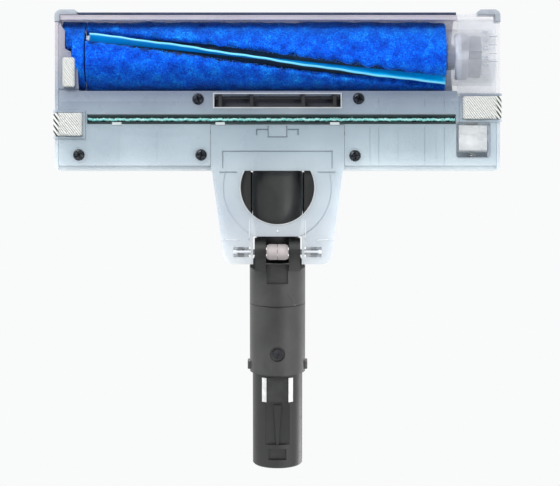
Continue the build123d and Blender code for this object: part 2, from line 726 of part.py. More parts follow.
with BuildPart() as motor_lead:
    with BuildLine() as lead_line:
        FilletPolyline(*LEAD_ROUTE, radius=lead_radii(LEAD_ROUTE))
    with BuildSketch(Plane(origin=lead_line.line @ 0, z_dir=lead_line.line % 0)):
        Circle(1.3)
    sweep()
save(motor_lead, "motor_lead")

# ---------------------------------------------------------------- roller
with BuildPart() as roller_core:
    with BuildSketch(roller_plane(ROLLER_LEFT)):
        Circle(CORE_R)
        Circle(CORE_BORE_R, mode=Mode.SUBTRACT)
    extrude(amount=ROLLER_RIGHT - 0.4 - ROLLER_LEFT)
save(roller_core, "roller_core")

with BuildPart() as drive_socket:
    with BuildSketch(roller_plane(-32)):
        Circle(CORE_BORE_R - 0.05)
        RegularPolygon(5.3, 6, mode=Mode.SUBTRACT)
    extrude(amount=7)
save(drive_socket, "drive_socket")

with BuildPart() as roller_left_hub:
    with BuildSketch(roller_plane(-134)):
        Circle(CORE_R - 0.1)
        Circle(10.0, mode=Mode.SUBTRACT)
    extrude(amount=12.9)
    with BuildSketch(roller_plane(-121.2)):
        Circle(CORE_BORE_R - 0.05)
        Circle(10.0, mode=Mode.SUBTRACT)
    extrude(amount=6)
save(roller_left_hub, "roller_left_hub")

save(tube_along_roller(-134.2, -122.4, END_RING_R, CORE_R), "roller_end_ring")
save(tube_along_roller(-130, -126, 9.95, 9.05), "roller_left_bearing")

with BuildPart() as corner_seal:
    with BuildSketch(roller_plane(CHAMBER_LEFT + 0.1)):
        Circle(ROLLER_R)
        Circle(CORNER_SEAL_R, mode=Mode.SUBTRACT)
        # only the sector from the front wall down to the sole's edge
        with BuildLine():
            Polyline((-4.2, 0), (-4.2, -30), (30, -30), (30, 30), (-30, 30), (-30, 4), (-10, 0), (-4.2, 0))
        make_face(mode=Mode.SUBTRACT)
    extrude(amount=14.6)
    # cut away where the sole's ear passes under it
    with BuildSketch(Plane.XY):
        with Locations((-133.4, ROLLER_Y)):
            Rectangle(10, 60, align=(Align.MAX, Align.CENTER))
    extrude(amount=SOLE_TOP + 0.3, mode=Mode.SUBTRACT)
save(corner_seal, "corner_seal")

with BuildPart() as roller_right_hub:
    with BuildSketch(roller_plane(94)):
        Circle(CORE_BORE_R - 0.05)
        Circle(9.4, mode=Mode.SUBTRACT)
    extrude(amount=10)
    with BuildSketch(roller_plane(102)):
        Circle(CORE_BORE_R - 0.05)
    extrude(amount=3)
    with BuildSketch(roller_plane(104)):
        Circle(3.0)
    extrude(amount=12)
save(roller_right_hub, "roller_right_hub")


def blade_plane(turn, x):
    """A plane across the roller at x, its local x pointing out along a blade turned by turn degrees."""
    angle = radians(BLADE_START + turn)
    return Plane(origin=(x, ROLLER_Y, ROLLER_Z), x_dir=(0, sin(angle), -cos(angle)), z_dir=(1, 0, 0))


def twisted(sketch_faces, x, end):
    """The faces swept along the roller while they turn with the blades."""
    share = (end - x) / (ROLLER_RIGHT - ROLLER_LEFT)
    return [
        Solid.extrude_linear_with_rotation(
            face, Vector(x, ROLLER_Y, ROLLER_Z), Vector(end - x, 0, 0), BLADE_TWIST * share
        )
        for face in sketch_faces
    ]


LEAD_TURN = (BLADE_LEFT - ROLLER_LEFT) / (ROLLER_RIGHT - ROLLER_LEFT) * BLADE_TWIST

with BuildSketch(blade_plane(0, ROLLER_LEFT)) as plush_section:
    Circle(ROLLER_R)
    Circle(CORE_R + 0.1, mode=Mode.SUBTRACT)
    Rectangle(60, 11, mode=Mode.SUBTRACT)
with BuildPart() as roller_plush:
    for solid in twisted(plush_section.sketch.faces(), ROLLER_LEFT, ROLLER_RIGHT):
        add(solid)
save(roller_plush, "roller_plush")

for number, turn in ((1, 0), (2, 180)):
    with BuildSketch(blade_plane(turn + LEAD_TURN, BLADE_LEFT)) as base_section:
        with Locations((13.9, 0)):
            Rectangle(2.5, 9.4)
    with BuildPart() as blade_base:
        for solid in twisted(base_section.sketch.faces(), BLADE_LEFT, ROLLER_RIGHT - 0.5):
            add(solid)
    save(blade_base, "blade_base_" + str(number))
    with BuildSketch(blade_plane(turn + LEAD_TURN, BLADE_LEFT)) as fin_section:
        with Locations((18.8, 0)):
            Rectangle(7.2, 1.7)
    with BuildPart() as blade:
        for solid in twisted(fin_section.sketch.faces(), BLADE_LEFT, ROLLER_RIGHT - 0.2):
            add(solid)
    save(blade, "blade_" + str(number))

with BuildPart() as blade_end_clips:
    for turn in (0, 180):
        with BuildSketch(blade_plane(turn, ROLLER_LEFT + 0.1)):
            with Locations((15.6, 0)):
                RectangleRounded(5.8, 4.4, 1.2)
        extrude(amount=2.2)
save(blade_end_clips, "blade_end_clips")

# ---------------------------------------------------------------- motor and gearbox
with BuildPart() as motor_mount:
    with BuildSketch(roller_plane(CHAMBER_LEFT + 0.1)):
        Circle(15)
        Circle(5, mode=Mode.SUBTRACT)
    extrude(amount=1.9)
    with BuildSketch(roller_plane(CHAMBER_LEFT + 0.1)):
        Circle(9.0)
        Circle(7.4, mode=Mode.SUBTRACT)
    extrude(amount=35.2)
save(motor_mount, "motor_mount")

save(tube_along_roller(-101.0, -51.2, 10.9, 10.3), "motor_can")
with BuildPart() as motor:
    with BuildSketch(roller_plane(-100.5)):
        Circle(10.25)
    extrude(amount=49)
    with BuildSketch(roller_plane(-62)):
        Circle(0.9)
    extrude(amount=12, mode=Mode.SUBTRACT)
save(motor, "motor")
save(tube_along_roller(-61.5, -43.9, 0.8, 0), "motor_shaft")


def gear(teeth, inward=False):
    """One gear tooth's outline for each tooth, on a sketch about the origin."""
    pitch_r = MODULE * teeth / 2
    way = -1 if inward else 1
    tip_r = pitch_r + way * 0.75 * MODULE
    root_r = pitch_r - way * 1.2 * MODULE
    for index in range(teeth):
        with Locations(Rotation(0, 0, index * 360 / teeth)):
            with BuildLine(mode=Mode.PRIVATE) as tooth:
                Polyline(
                    (root_r, -0.27), (tip_r, -0.12), (tip_r, 0.12), (root_r, 0.27), (root_r, -0.27)
                )
            add(make_face(tooth.edges(), mode=Mode.PRIVATE))


with BuildPart() as sun_gear:
    with BuildSketch(roller_plane(GEAR_LEFT)):
        Circle(MODULE * SUN_TEETH / 2 - 1.1 * MODULE)
        gear(SUN_TEETH)
        Circle(0.85, mode=Mode.SUBTRACT)
    extrude(amount=GEAR_WIDTH)
save(sun_gear, "sun_gear")

for number in range(3):
    angle = radians(120 * number)
    spin = 120 * number + 180 / PLANET_TEETH
    centre = Plane(
        origin=(GEAR_LEFT, ROLLER_Y + CARRIER_R * cos(angle), ROLLER_Z + CARRIER_R * sin(angle)),
        x_dir=(0, cos(radians(spin)), sin(radians(spin))),
        z_dir=(1, 0, 0),
    )
    with BuildPart() as planet_gear:
        with BuildSketch(centre):
            Circle(MODULE * PLANET_TEETH / 2 - 1.1 * MODULE)
            gear(PLANET_TEETH)
            Circle(0.95, mode=Mode.SUBTRACT)
        extrude(amount=GEAR_WIDTH)
    save(planet_gear, "planet_gear_" + str(number + 1))

with BuildPart() as ring_gear:
    with BuildSketch(roller_plane(GEAR_LEFT - 1)):
        Circle(10.9)
        Circle(MODULE * RING_TEETH / 2 + 1.1 * MODULE, mode=Mode.SUBTRACT)
        gear(RING_TEETH, inward=True)
    extrude(amount=9)
save(ring_gear, "ring_gear")

with BuildPart() as planet_carrier:
    with BuildSketch(roller_plane(-43.5)):
        Circle(8.8)
    extrude(amount=1.4)
    with BuildSketch(roller_plane(GEAR_LEFT + 0.2)):
        with PolarLocations(CARRIER_R, 3):
            Circle(0.9)
    extrude(amount=7)
    with BuildSketch(roller_plane(-42.2)):
        Circle(3.0)
    extrude(amount=11)
    with BuildSketch(roller_plane(-31.8)):
        RegularPolygon(5.2, 6)
    extrude(amount=5.5)
save(planet_carrier, "planet_carrier")
save(tube_along_roller(-41.6, -38.6, 6.4, 3.05), "gearbox_bearing")
save(tube_along_roller(-41.8, -38.4, 10.9, 6.45), "gearbox_cap")

# ---------------------------------------------------------------- pitch pins and wheel
for side, name in ((-1, "pitch_pin_left"), (1, "pitch_pin_right")):
    with BuildPart() as pitch_pin:
        with BuildSketch(Plane.YZ.offset(side * PIN_IN_X)):
            with Locations((PITCH_Y, PITCH_Z)):
                Circle(PIN_R)
        extrude(amount=side * (PIN_OUT_X - PIN_IN_X))
        chamfer(pitch_pin.edges().filter_by(GeomType.CIRCLE), 0.3)
    save(pitch_pin, name)

WHEEL_PROFILE = [(1.35, 0.1), (WHEEL_R - 0.15, 0.1), (WHEEL_R, 0.3), (WHEEL_R, 5.0),
                 (WHEEL_R - 0.8, WHEEL_X), (1.35, WHEEL_X), (1.35, 0.1)]
for side, name in ((-1, "wheel_left"), (1, "wheel_right")):
    with BuildPart() as wheel:
        with BuildSketch(Plane(origin=(0, PITCH_Y, WHEEL_R), x_dir=(0, 0, 1), z_dir=(0, 1, 0))):
            with BuildLine():
                Polyline(*[(r, side * x) for r, x in WHEEL_PROFILE])
            make_face()
        revolve(axis=Axis((0, PITCH_Y, WHEEL_R), (1, 0, 0)))
    save(wheel, name)

with BuildPart() as wheel_axle:
    with BuildSketch(Plane.YZ.offset(-10.5)):
        with Locations((PITCH_Y, WHEEL_R)):
            Circle(AXLE_R)
    extrude(amount=21)
save(wheel_axle, "wheel_axle")

# ---------------------------------------------------------------- neck fork
with BuildPart() as neck_fork:
    with BuildSketch(NECK.offset(NECK_START)):
        Circle(NECK_R)
    extrude(amount=SWIVEL_AT - NECK_START)
    with BuildSketch(NECK.offset(SWIVEL_AT - 0.1)):
        Circle(SLEEVE_R)
    extrude(amount=SLEEVE_END - SWIVEL_AT)
    # ears about the pitch axis, joined to the tube's underside
    for side in (-1, 1):
        with BuildSketch(Plane.YZ.offset(side * EAR_IN_X)):
            with Locations((PITCH_Y, PITCH_Z)):
                Circle(EAR_R)
            with BuildLine():
                Polyline(
                    (PITCH_Y, PITCH_Z - EAR_R), (19, 6.4), (19, 21.1), (PITCH_Y, PITCH_Z + EAR_R),
                    (PITCH_Y, PITCH_Z - EAR_R),
                )
            make_face()
        extrude(amount=side * (EAR_OUT_X - EAR_IN_X))
    # shoulders where the arms widen into the tube
    with BuildSketch(Plane.XY.offset(7.2)):
        with BuildLine():
            Polyline(
                (13.6, 8.6), (14.3, 8.6), (14.9, 10.8), (16.2, 13.2),
                (17.4, 16.2), (13.6, 18.5), (13.6, 8.6),
            )
        make_face()
        mirror(about=Plane.YZ)
    extrude(amount=13)
    with BuildSketch(NECK.offset(-12)):
        Circle(NECK_BORE_R)
    extrude(amount=SLEEVE_END + 14, mode=Mode.SUBTRACT)
    # pocket behind the wheel, then a ramp up to the swivel line
    with BuildSketch(NECK.offset(NECK_START - 1)):
        with Locations((0, -20.6)):
            Rectangle(2 * WHEEL_X + 0.2, 11.0)
    extrude(amount=13.5, mode=Mode.SUBTRACT)
    # groove for the swivel seal
    with BuildSketch(NECK.offset(38)):
        Circle(SLEEVE_R + 1)
        Circle(14.5, mode=Mode.SUBTRACT)
    extrude(amount=2, mode=Mode.SUBTRACT)
    # bores for the pitch pins and the wheel axle
    with BuildSketch(Plane.YZ):
        with Locations((PITCH_Y, PITCH_Z)):
            Circle(PIN_R + 0.05)
    extrude(amount=20, both=True, mode=Mode.SUBTRACT)
    with BuildSketch(Plane.YZ):
        with Locations((PITCH_Y, WHEEL_R)):
            Circle(AXLE_R + 0.01)
    extrude(amount=10.6, both=True, mode=Mode.SUBTRACT)
save(neck_fork, "neck_fork")

with BuildPart() as swivel_seal:
    with BuildSketch(NECK.offset(38.1)):
        Circle(15.45)
        Circle(14.55, mode=Mode.SUBTRACT)
    extrude(amount=1.8)
save(swivel_seal, "swivel_seal")

# ---------------------------------------------------------------- neck tube, spigot and contacts
with BuildPart() as neck_tube:
    with BuildSketch(NECK.offset(SWIVEL_AT + 0.3)):
        Circle(NECK_R)
    extrude(amount=TUBE_END - SWIVEL_AT - 0.3)
    for side in (-1, 1):
        with BuildSketch(NECK.offset(70.5)):
            with Locations((side * 17.6, 0)):
                RectangleRounded(3.2, 9, 1.4)
        extrude(amount=5)
    with BuildSketch(NECK.offset(SWIVEL_AT)):
        Circle(SLEEVE_R + 0.2)
    extrude(amount=SLEEVE_END + 0.6 - SWIVEL_AT, mode=Mode.SUBTRACT)
    with BuildSketch(NECK.offset(SWIVEL_AT)):
        Circle(SPIGOT_ROOT_R + 0.1)
    extrude(amount=60, mode=Mode.SUBTRACT)
    screw_plane = Plane(
        origin=NECK.from_local_coords(Vector(0, -NECK_R - 1, NECK_SCREW_AT)),
        x_dir=(1, 0, 0), z_dir=NECK.y_dir,
    )
    with BuildSketch(screw_plane):
        Circle(4.95)
    extrude(amount=3.2, mode=Mode.SUBTRACT)
    with BuildSketch(screw_plane):
        Circle(SCREW_SHANK_R + 0.02)
    extrude(amount=8, mode=Mode.SUBTRACT)
save(neck_tube, "neck_tube")

with BuildPart() as neck_screw:
    with BuildSketch(screw_plane.offset(1.9)):
        Circle(3.15)
    extrude(amount=1.3)
    with BuildSketch(screw_plane.offset(3.0)):
        Circle(SCREW_SHANK_R)
    extrude(amount=3.2)
    with BuildSketch(screw_plane.offset(1.8)):
        Rectangle(3.6, 0.8)
        Rectangle(0.8, 3.6)
    extrude(amount=0.9, mode=Mode.SUBTRACT)
save(neck_screw, "neck_screw")

with BuildPart() as connector_spigot:
    with BuildSketch(NECK.offset(SPIGOT_ROOT_AT)):
        Circle(SPIGOT_ROOT_R)
    extrude(amount=TUBE_END + 1 - SPIGOT_ROOT_AT)
    seam_dir = NECK.x_dir * cos(radians(SPIGOT_SEAM)) + NECK.y_dir * sin(radians(SPIGOT_SEAM))
    with BuildSketch(Plane(NECK.offset(TUBE_END + 0.2).origin, x_dir=seam_dir, z_dir=NECK.z_dir)):
        Circle(SPIGOT_R)
    extrude(amount=SPIGOT_END - TUBE_END - 0.2)
    chamfer(connector_spigot.faces().sort_by(Axis(NECK.origin, NECK.z_dir))[-1].edges(), 0.8)
    with BuildSketch(NECK.offset(SPIGOT_ROOT_AT - 1)):
        Circle(SPIGOT_BORE_R)
    extrude(amount=SPIGOT_END, mode=Mode.SUBTRACT)
    # keyway on the underside, with the contacts' slots beside it
    with BuildSketch(NECK.offset(78.6)):
        with Locations((0, -13.6)):
            Rectangle(15.6, 5, align=(Align.CENTER, Align.MAX))
    extrude(amount=44.3, mode=Mode.SUBTRACT)
    with BuildSketch(NECK.offset(79.0)):
        with Locations((CONTACT_X, -11.0), (-CONTACT_X, -11.0)):
            Rectangle(3.2, 7, align=(Align.CENTER, Align.MAX))
    extrude(amount=16.6, mode=Mode.SUBTRACT)
    with BuildSketch(NECK.offset(97)):
        with Locations((0, -12.9)):
            Rectangle(4.8, 2.4, align=(Align.CENTER, Align.MAX))
    with BuildSketch(NECK.offset(122.9)):
        with Locations((0, -12.9)):
            Rectangle(1.4, 2.4, align=(Align.CENTER, Align.MAX))
    loft()
    # pocket for the wand's catch, and the neck screw's hole
    with BuildSketch(NECK.offset(125.7)):
        with Locations((0, -13.6)):
            Rectangle(11.4, 5, align=(Align.CENTER, Align.MAX))
    extrude(amount=7.2, mode=Mode.SUBTRACT)
    with BuildSketch(screw_plane):
        Circle(SCREW_SHANK_R + 0.02)
    extrude(amount=8, mode=Mode.SUBTRACT)
save(connector_spigot, "connector_spigot")

with BuildPart() as contact_holder:
    with BuildSketch(NECK.offset(79.0)):
        with Locations((0, -13.65)):
            Rectangle(13.2, 0.85, align=(Align.CENTER, Align.MAX))
    extrude(amount=16.0)
save(contact_holder, "contact_holder")

# The contacts end just inside the spigot's round, so that the wand's tube passes over them
for side, name in ((1, "contact_left"), (-1, "contact_right")):
    with BuildPart() as contact:
        with BuildSketch(NECK.offset(79.4)):
            with Locations((side * CONTACT_X, -11.1)):
                Rectangle(2.9, 5.0, align=(Align.CENTER, Align.MAX))
            Circle(SPIGOT_R - CONTACT_SINK, mode=Mode.INTERSECT)
        extrude(amount=15.8)
    save(contact, name)
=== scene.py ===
import bpy
import json
import math
import random
from mathutils import Matrix, Vector, noise


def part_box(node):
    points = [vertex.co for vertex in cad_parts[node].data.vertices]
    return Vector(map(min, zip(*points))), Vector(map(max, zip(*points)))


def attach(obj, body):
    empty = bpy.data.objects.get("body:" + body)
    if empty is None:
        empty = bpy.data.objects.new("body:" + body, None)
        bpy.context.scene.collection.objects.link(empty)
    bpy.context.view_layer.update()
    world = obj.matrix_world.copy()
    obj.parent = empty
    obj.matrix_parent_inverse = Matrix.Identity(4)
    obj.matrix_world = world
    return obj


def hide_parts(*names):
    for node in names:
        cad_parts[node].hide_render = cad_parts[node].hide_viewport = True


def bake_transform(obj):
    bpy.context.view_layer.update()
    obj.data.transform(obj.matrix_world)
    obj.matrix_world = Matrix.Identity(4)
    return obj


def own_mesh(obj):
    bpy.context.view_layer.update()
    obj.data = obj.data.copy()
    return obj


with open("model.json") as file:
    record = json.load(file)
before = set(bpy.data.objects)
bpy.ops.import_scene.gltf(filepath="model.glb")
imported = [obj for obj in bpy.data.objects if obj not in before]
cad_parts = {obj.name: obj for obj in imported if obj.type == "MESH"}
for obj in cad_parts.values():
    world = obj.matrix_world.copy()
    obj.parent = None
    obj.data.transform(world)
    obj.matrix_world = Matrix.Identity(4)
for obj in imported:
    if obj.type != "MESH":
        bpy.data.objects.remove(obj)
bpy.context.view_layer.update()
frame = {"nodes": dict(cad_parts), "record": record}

NODES = frame["nodes"]
MM = 0.001


def span(node, axis):
    """The lowest and highest value of a CAD node along one axis, in metres."""
    low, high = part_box(node)
    return low[axis], high[axis]


def middle(node):
    """The centre of a CAD node's box."""
    low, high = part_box(node)
    return (Vector(low) + Vector(high)) / 2


# ------------------------------------------------------------------ camera, lights and stage
CAMERA_DISTANCE = 1.25
VIEW_WIDTH = 351.4 * MM


def make_camera():
    """A long lens straight under the object, with the head's front edge at the top."""
    data = bpy.data.cameras.new("camera")
    data.sensor_width = 36.0
    data.lens = data.sensor_width * CAMERA_DISTANCE / VIEW_WIDTH
    camera = bpy.data.objects.new("camera", data)
    right, up, back = Vector((1, 0, 0)), Vector((0, -1, 0)), Vector((0, 0, -1))
    turn = Matrix((right, up, back)).transposed().to_4x4()
    camera.matrix_world = Matrix.Translation((0.0016, 0.0011, -CAMERA_DISTANCE)) @ turn
    bpy.context.scene.collection.objects.link(camera)
    bpy.context.scene.camera = camera


def area_light(name, at, aim, size, power, colour=(1, 1, 1)):
    """A softbox at one place, aimed at another."""
    data = bpy.data.lights.new(name, "AREA")
    data.shape = "RECTANGLE"
    data.size, data.size_y = size
    data.energy = power
    data.color = colour
    light = bpy.data.objects.new(name, data)
    direction = Vector(aim) - Vector(at)
    light.matrix_world = Matrix.Translation(at) @ direction.to_track_quat("-Z", "Y").to_matrix().to_4x4()
    bpy.context.scene.collection.objects.link(light)


def make_stage():
    """A pale world, softboxes above and below, and a pale floor that is clear from below."""
    scene = bpy.context.scene
    scene.view_settings.view_transform = "Standard"
    world = bpy.data.worlds.new("world")
    world.use_nodes = True
    world.node_tree.nodes["Background"].inputs[0].default_value = (0.97, 0.975, 0.98, 1)
    world.node_tree.nodes["Background"].inputs[1].default_value = 0.98
    scene.world = world
    area_light("key_below", (-0.45, -0.75, -0.80), (0, -0.05, 0), (0.5, 0.5), 9.0)
    area_light("fill_below", (0.65, 0.30, -0.70), (0, -0.03, 0), (0.6, 0.6), 3.6)
    area_light("key_above", (-0.5, -0.6, 0.9), (0, -0.03, 0.02), (0.6, 0.6), 7.0)
    area_light("rim_above", (0.7, 0.5, 0.7), (0, -0.03, 0.02), (0.5, 0.5), 4.0)

    mesh = bpy.data.meshes.new("floor")
    half = 3.0
    corners = [(-half, -half, 0), (half, -half, 0), (half, half, 0), (-half, half, 0)]
    mesh.from_pydata(corners, [], [(0, 1, 2, 3)])
    floor = bpy.data.objects.new("floor", mesh)
    scene.collection.objects.link(floor)
    material = bpy.data.materials.new("floor")
    material.use_nodes = True
    nodes, links = material.node_tree.nodes, material.node_tree.links
    nodes.clear()
    out = nodes.new("ShaderNodeOutputMaterial")
    mix = nodes.new("ShaderNodeMixShader")
    diffuse = nodes.new("ShaderNodeBsdfDiffuse")
    diffuse.inputs["Color"].default_value = (0.82, 0.83, 0.84, 1)
    clear = nodes.new("ShaderNodeBsdfTransparent")
    side = nodes.new("ShaderNodeNewGeometry")
    links.new(side.outputs["Backfacing"], mix.inputs[0])
    links.new(diffuse.outputs[0], mix.inputs[1])
    links.new(clear.outputs[0], mix.inputs[2])
    links.new(mix.outputs[0], out.inputs["Surface"])
    mesh.materials.append(material)
    floor.visible_shadow = False


# ------------------------------------------------------------------ materials
class Finish:
    """A procedural material being built: one Principled shader and the nodes that feed it."""

    def __init__(self, name, colour, roughness, **sockets):
        self.material = bpy.data.materials.new(name)
        self.material.use_nodes = True
        self.nodes = self.material.node_tree.nodes
        self.links = self.material.node_tree.links
        self.shader = self.nodes["Principled BSDF"]
        self.shader.inputs["Base Color"].default_value = (*colour, 1)
        self.shader.inputs["Roughness"].default_value = roughness
        for socket, value in sockets.items():
            self.shader.inputs[socket.replace("_", " ")].default_value = value
        self.place = self.nodes.new("ShaderNodeTexCoord").outputs["Object"]

    def scaled(self, scale, turn=(0, 0, 0)):
        """Object coordinates scaled and turned."""
        node = self.nodes.new("ShaderNodeMapping")
        node.inputs["Scale"].default_value = scale
        node.inputs["Rotation"].default_value = turn
        self.links.new(self.place, node.inputs["Vector"])
        return node.outputs[0]

    def noise(self, size, detail=4.0, stretch=(1, 1, 1), roughness=0.55):
        """Noise whose features are about size metres across."""
        node = self.nodes.new("ShaderNodeTexNoise")
        node.inputs["Scale"].default_value = 1.0
        node.inputs["Detail"].default_value = detail
        node.inputs["Roughness"].default_value = roughness
        self.links.new(self.scaled([s / size for s in stretch]), node.inputs["Vector"])
        return node.outputs["Fac"]

    def waves(self, size, turn=(0, 0, 0), distortion=0.0):
        """Straight bands, one about every size metres, along the turned X axis."""
        node = self.nodes.new("ShaderNodeTexWave")
        node.inputs["Scale"].default_value = 1.0
        node.inputs["Distortion"].default_value = distortion
        node.inputs["Detail"].default_value = 1.0
        self.links.new(self.scaled([0.314 / size] * 3, turn), node.inputs["Vector"])
        return node.outputs["Fac"]

    def ramp(self, fac, stops):
        """A colour ramp over fac: stops are (position, colour)."""
        node = self.nodes.new("ShaderNodeValToRGB")
        ramp = node.color_ramp
        while len(ramp.elements) < len(stops):
            ramp.elements.new(0.5)
        for element, (position, colour) in zip(ramp.elements, stops):
            element.position = position
            element.color = (*colour, 1)
        self.links.new(fac, node.inputs[0])
        return node.outputs["Color"]

    def mixed(self, a, b, fac, blend="MIX"):
        """Two colours mixed by fac, which is a number or a socket."""
        node = self.nodes.new("ShaderNodeMix")
        node.data_type = "RGBA"
        node.blend_type = blend
        for socket, value in ((node.inputs[0], fac), (node.inputs[6], a), (node.inputs[7], b)):
            if hasattr(value, "links"):
                self.links.new(value, socket)
            else:
                socket.default_value = value if isinstance(value, float) else (*value, 1)
        return node.outputs[2]

    def colour(self, socket):
        self.links.new(socket, self.shader.inputs["Base Color"])

    def roughness(self, fac, low, high):
        node = self.nodes.new("ShaderNodeMapRange")
        node.inputs["To Min"].default_value = low
        node.inputs["To Max"].default_value = high
        self.links.new(fac, node.inputs["Value"])
        self.links.new(node.outputs[0], self.shader.inputs["Roughness"])

    def bump(self, fac, height, strength=1.0):
        """Bump of height metres, on top of any bump that the shader has."""
        node = self.nodes.new("ShaderNodeBump")
        node.inputs["Strength"].default_value = strength
        node.inputs["Distance"].default_value = height
        self.links.new(fac, node.inputs["Height"])
        normal = self.shader.inputs["Normal"]
        if normal.links:
            self.links.new(normal.links[0].from_socket, node.inputs["Normal"])
        self.links.new(node.outputs[0], normal)


def frosted_shell(name="frosted_shell", alpha=0.68, lift=0.0):
    """Milky blue-grey plastic that shows the pieces behind it faintly, with cloudy tone, painted light and
    shade in bands from front to back (a painted pinkish reflection along the front edge, a painted darker
    band behind the mouth, a paler rear edge), and a paler mottled colour mixed in by lift.
    """
    f = Finish(name, (0.46, 0.51, 0.58), 0.30, IOR=1.45, Alpha=alpha,
               Coat_Weight=0.35, Coat_Roughness=0.22)
    cloud = f.ramp(f.noise(0.045, 3.0, roughness=0.45),
                   [(0.30, (0.84, 0.85, 0.87)), (0.52, (0.94, 0.94, 0.95)), (0.72, (1.06, 1.06, 1.05))])
    split = f.nodes.new("ShaderNodeSeparateXYZ")
    f.links.new(f.place, split.inputs[0])
    painted_band_place = f.nodes.new("ShaderNodeMapRange")
    painted_band_place.inputs["From Min"].default_value = -0.145
    painted_band_place.inputs["From Max"].default_value = 0.015
    f.links.new(split.outputs["Y"], painted_band_place.inputs["Value"])
    # painted light and shade in bands along Y: a pinkish reflection at the front edge, a dark band behind
    # the suction mouth, then lighter and darker bands up to a paler rear edge
    painted_light_bands = f.ramp(painted_band_place.outputs[0],
                  [(0.0, (0.66, 0.61, 0.64)), (0.045, (0.62, 0.58, 0.62)), (0.325, (0.36, 0.42, 0.50)),
                   (0.375, (0.48, 0.55, 0.63)), (0.44, (0.60, 0.69, 0.75)), (0.54, (0.65, 0.74, 0.79)),
                   (0.62, (0.74, 0.82, 0.86)), (0.80, (0.74, 0.80, 0.85)), (0.97, (0.86, 0.90, 0.92))])
    pale = f.ramp(f.noise(0.012, 2.0), [(0.35, (0.66, 0.69, 0.74)), (0.65, (0.80, 0.82, 0.86))])
    f.colour(f.mixed(f.mixed(painted_light_bands, cloud, 1.0, "MULTIPLY"), pale, lift))
    f.roughness(f.noise(0.012, 5.0), 0.20, 0.38)
    f.bump(f.noise(0.006, 2.0), 0.00012, 0.35)
    f.bump(f.noise(0.0006, 2.0), 0.00003, 0.5)
    return f.material


def dark_plastic(name="dark_plastic", low=(0.030, 0.030, 0.030), high=(0.052, 0.052, 0.051),
                 rough=(0.34, 0.50)):
    """Satin moulded plastic with a fine spark-eroded grain and faint handling marks."""
    f = Finish(name, low, 0.42, Coat_Weight=0.12, Coat_Roughness=0.3)
    f.colour(f.ramp(f.noise(0.02, 5.0), [(0.3, low), (0.75, high)]))
    f.roughness(f.noise(0.006, 6.0), *rough)
    f.bump(f.noise(0.00045, 3.0), 0.00004, 0.6)
    return f.material


def pale_plastic(name, low, high, rough=(0.3, 0.45), grain=0.0005):
    """Plain moulded plastic with slight mottling and a fine grain."""
    f = Finish(name, low, 0.4, Coat_Weight=0.15, Coat_Roughness=0.3)
    f.colour(f.ramp(f.noise(0.009, 4.0), [(0.3, low), (0.7, high)]))
    f.roughness(f.noise(0.004, 5.0), *rough)
    f.bump(f.noise(grain, 2.0), 0.00003, 0.5)
    return f.material


def rubber(name, low, high):
    """Matt rubber with a fine pebbled skin."""
    f = Finish(name, low, 0.7)
    f.colour(f.ramp(f.noise(0.007, 5.0), [(0.3, low), (0.7, high)]))
    f.roughness(f.noise(0.003, 4.0), 0.55, 0.8)
    f.bump(f.noise(0.0004, 3.0), 0.00005, 0.7)
    return f.material


def metal(name, low, high, rough=(0.18, 0.34), stretch=(1, 18, 18)):
    """Turned or drawn metal with fine lines across its length."""
    f = Finish(name, low, 0.25, Metallic=1.0)
    f.colour(f.ramp(f.noise(0.004, 4.0), [(0.3, low), (0.7, high)]))
    f.roughness(f.noise(0.002, 5.0, stretch), *rough)
    f.bump(f.noise(0.0012, 3.0, stretch), 0.00001, 0.4)
    return f.material


def plush():
    """Royal-blue pile, a little velvety, with painted shade and light in soft patches and fine specks, the
    brightest specks painted glints like lit fibre tips.
    """
    f = Finish("blue_plush", (0.0, 0.07, 0.55), 0.78, Sheen_Weight=0.9, Sheen_Roughness=0.4,
               Specular_IOR_Level=0.25)
    f.shader.inputs["Sheen Tint"].default_value = (0.25, 0.55, 1.0, 1)
    # painted shade and light: darker and brighter blue patches of noise
    clumps = f.ramp(f.noise(0.0075, 4.0, roughness=0.6),
                    [(0.28, (0.0, 0.060, 0.50)), (0.50, (0.0, 0.155, 0.84)), (0.72, (0.004, 0.31, 1.0))])
    # painted light and shade in fine specks: darker specks, and colours above one that paint bright glints
    # on fibre tips
    fibre_glints = f.ramp(f.noise(0.0010, 3.0, roughness=0.75),
                    [(0.34, (0.40, 0.42, 0.55)), (0.52, (0.95, 0.97, 1.0)), (0.62, (6.0, 1.8, 1.15)),
                     (0.70, (30.0, 3.2, 1.3))])
    f.colour(f.mixed(clumps, fibre_glints, 0.9, "MULTIPLY"))
    f.bump(f.noise(0.0016, 3.0, roughness=0.7), 0.0006, 0.8)
    return f.material


